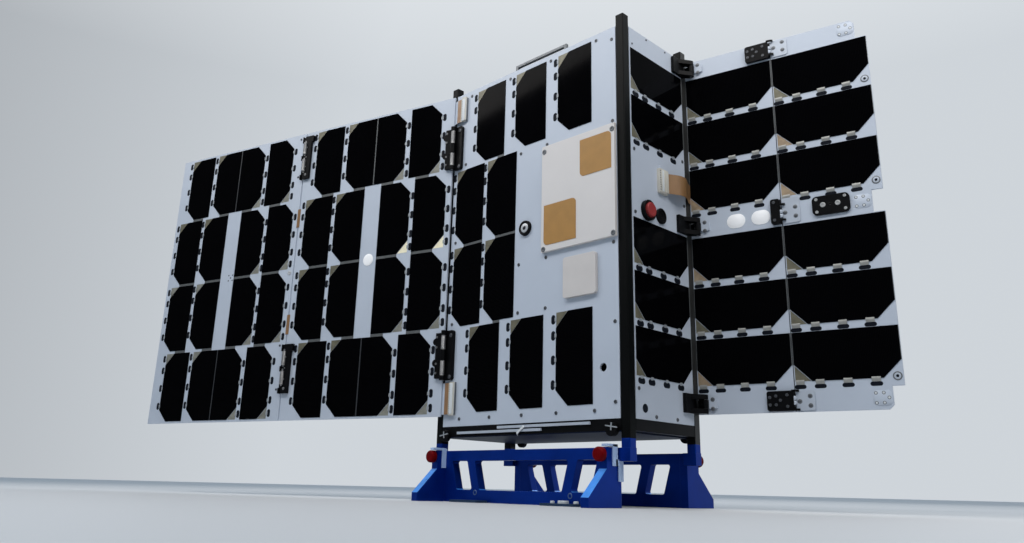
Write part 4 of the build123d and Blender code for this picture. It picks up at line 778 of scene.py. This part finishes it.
piece(bm, "right_root_flex", UPRIGHT, (FLEX,), blend=(
    "bus", "right_inner_wing", (0.1222, 0.0275, 0.2749), tuple(end * MM)))
for tag, low, high in (("top", 293.0, 315.0), ("foot", 169.5, 191.5)):
    middle = (low + high) / 2
    bm = bmesh.new()
    path = [tuple(on_wing(LEFT_WING, s, middle, level)) for s, level in
            ((-208.2, 0.1), (-209.0, 0.5), (-209.7, 0.6), (-210.3, 0.6), (-210.9, 0.6), (-211.6, 0.5), (-212.6, 0.1))]
    ribbon(bm, path, (0, 0, 1), high - low, 0.2)
    piece(bm, "left_seam_flex_" + tag, UPRIGHT, (FLEX,), blend=(
        "left_inner_wing", "left_outer_wing", tuple(on_wing(LEFT_WING, -209.0, middle, 0.5) * MM),
        tuple(on_wing(LEFT_WING, -211.6, middle, 0.5) * MM)))

# Floor, with half its width in metres
FLOOR_HALF = 30
floor_mesh = bpy.data.meshes.new("floor")
bm = bmesh.new()
bmesh.ops.create_grid(bm, x_segments=1, y_segments=1, size=FLOOR_HALF)
bm.to_mesh(floor_mesh)
bm.free()
floor = bpy.data.objects.new("floor", floor_mesh)
floor.data.materials.append(material("floor_paint", (0.52, 0.515, 0.51), rough=0.6, vary=0.02, scale=0.5))
bpy.context.scene.collection.objects.link(floor)

# World: the light comes from a pale sky that is stronger from -X, and rays that see the world get a plain backdrop
SKY_FOOT, SKY_TOP = (0.004, 0.008, 0.012), (0.60, 0.79, 1.0)
SKY_LEFT, SKY_RIGHT = 1.32, 0.30
BACKDROP_NEAR, BACKDROP_FAR = (0.14, 0.15, 0.165), (0.62, 0.66, 0.70)
BACKDROP_TOP = (0.95, 0.98, 1.0)
world = bpy.data.worlds.new("studio")
bpy.context.scene.world = world
world.use_nodes = True
tree = world.node_tree
nodes, links = tree.nodes, tree.links
nodes.clear()
where = nodes.new("ShaderNodeTexCoord")
split = nodes.new("ShaderNodeSeparateXYZ")
links.new(where.outputs["Generated"], split.inputs["Vector"])
ambient = nodes.new("ShaderNodeBackground")
height = map_range(tree, split.outputs["Z"], -1.0, 1.0)
links.new(color_ramp(tree, height, ((0.5, SKY_FOOT), (0.9, SKY_TOP))), ambient.inputs["Color"])
links.new(map_range(tree, split.outputs["X"], -1.0, 1.0, SKY_LEFT, SKY_RIGHT), ambient.inputs["Strength"])
seen = nodes.new("ShaderNodeBackground")
seen.inputs["Strength"].default_value = 1.0
depth = map_range(tree, split.outputs["Y"], -1.0, 1.0)
backdrop = nodes.new("ShaderNodeMix")
backdrop.data_type = "RGBA"
backdrop.inputs["B"].default_value = (*BACKDROP_TOP, 1)
links.new(map_range(tree, split.outputs["Z"], 0.45, 0.80), backdrop.inputs["Factor"])
links.new(color_ramp(tree, depth, ((0.3, BACKDROP_NEAR), (0.75, BACKDROP_FAR))), backdrop.inputs["A"])
links.new(backdrop.outputs["Result"], seen.inputs["Color"])
rays = nodes.new("ShaderNodeLightPath")
camera_or_gloss = nodes.new("ShaderNodeMath")
camera_or_gloss.operation = "MAXIMUM"
links.new(rays.outputs["Is Camera Ray"], camera_or_gloss.inputs[0])
links.new(rays.outputs["Is Glossy Ray"], camera_or_gloss.inputs[1])
any_seen = nodes.new("ShaderNodeMath")
any_seen.operation = "MAXIMUM"
links.new(camera_or_gloss.outputs[0], any_seen.inputs[0])
links.new(rays.outputs["Is Transmission Ray"], any_seen.inputs[1])
mix = nodes.new("ShaderNodeMixShader")
links.new(any_seen.outputs[0], mix.inputs["Fac"])
links.new(ambient.outputs[0], mix.inputs[1])
links.new(seen.outputs[0], mix.inputs[2])
out = nodes.new("ShaderNodeOutputWorld")
links.new(mix.outputs[0], out.inputs["Surface"])


# Lamps
def softbox(name, place, target, size, power, color=(1, 1, 1)):
    """Rectangular area lamp that looks at a target."""
    data = bpy.data.lights.new(name, "AREA")
    data.shape = "RECTANGLE"
    data.size, data.size_y = size
    data.energy = power
    data.color = color
    lamp = bpy.data.objects.new(name, data)
    lamp.location = place
    lamp.rotation_euler = (Vector(target) - Vector(place)).to_track_quat("-Z", "Y").to_euler()
    bpy.context.scene.collection.objects.link(lamp)


WARM = (1.0, 0.97, 0.95)
softbox("overhead", (-0.02, -0.56, 0.93), (-0.1, 0, 0.48), (2.2, 0.2), 9.8, WARM)
softbox("side_fill", (0.50, 0.0, 0.66), (0.15, 0, 0.38), (0.3, 0.3), 1.0, WARM)
softbox("back_fill", (-0.3, 1.3, 1.5), (0, 0, 0.25), (1.6, 0.9), 8)

# Camera, as solved from the photograph
IMAGE_WIDTH, IMAGE_HEIGHT = 1024.0, 543.0
FOCAL_PIXELS = 818.949
MIDDLE_ROW = 246.06
CAMERA_PLACE = (0.496596, -0.570655, 0.011724)
YAW, PITCH, ROLL = radians(44.683), radians(16.546), radians(1.393)
camera_data = bpy.data.cameras.new("camera")
camera = bpy.data.objects.new("camera", camera_data)
bpy.context.scene.collection.objects.link(camera)
bpy.context.scene.camera = camera
camera_data.sensor_width = 36.0
camera_data.lens = FOCAL_PIXELS * camera_data.sensor_width / IMAGE_WIDTH
camera_data.shift_y = (MIDDLE_ROW - IMAGE_HEIGHT / 2) / IMAGE_WIDTH
camera_data.clip_start = 0.01
forward = Vector((-sin(YAW) * cos(PITCH), cos(YAW) * cos(PITCH), sin(PITCH)))
side = Vector((cos(YAW), sin(YAW), 0))
up = side.cross(forward)
side, up = cos(ROLL) * side + sin(ROLL) * up, -sin(ROLL) * side + cos(ROLL) * up
turn = Matrix((side, up, -forward)).transposed().to_4x4()
camera.matrix_world = Matrix.Translation(CAMERA_PLACE) @ turn
bpy.context.scene.view_settings.view_transform = "Standard"

bpy.context.view_layer.update()
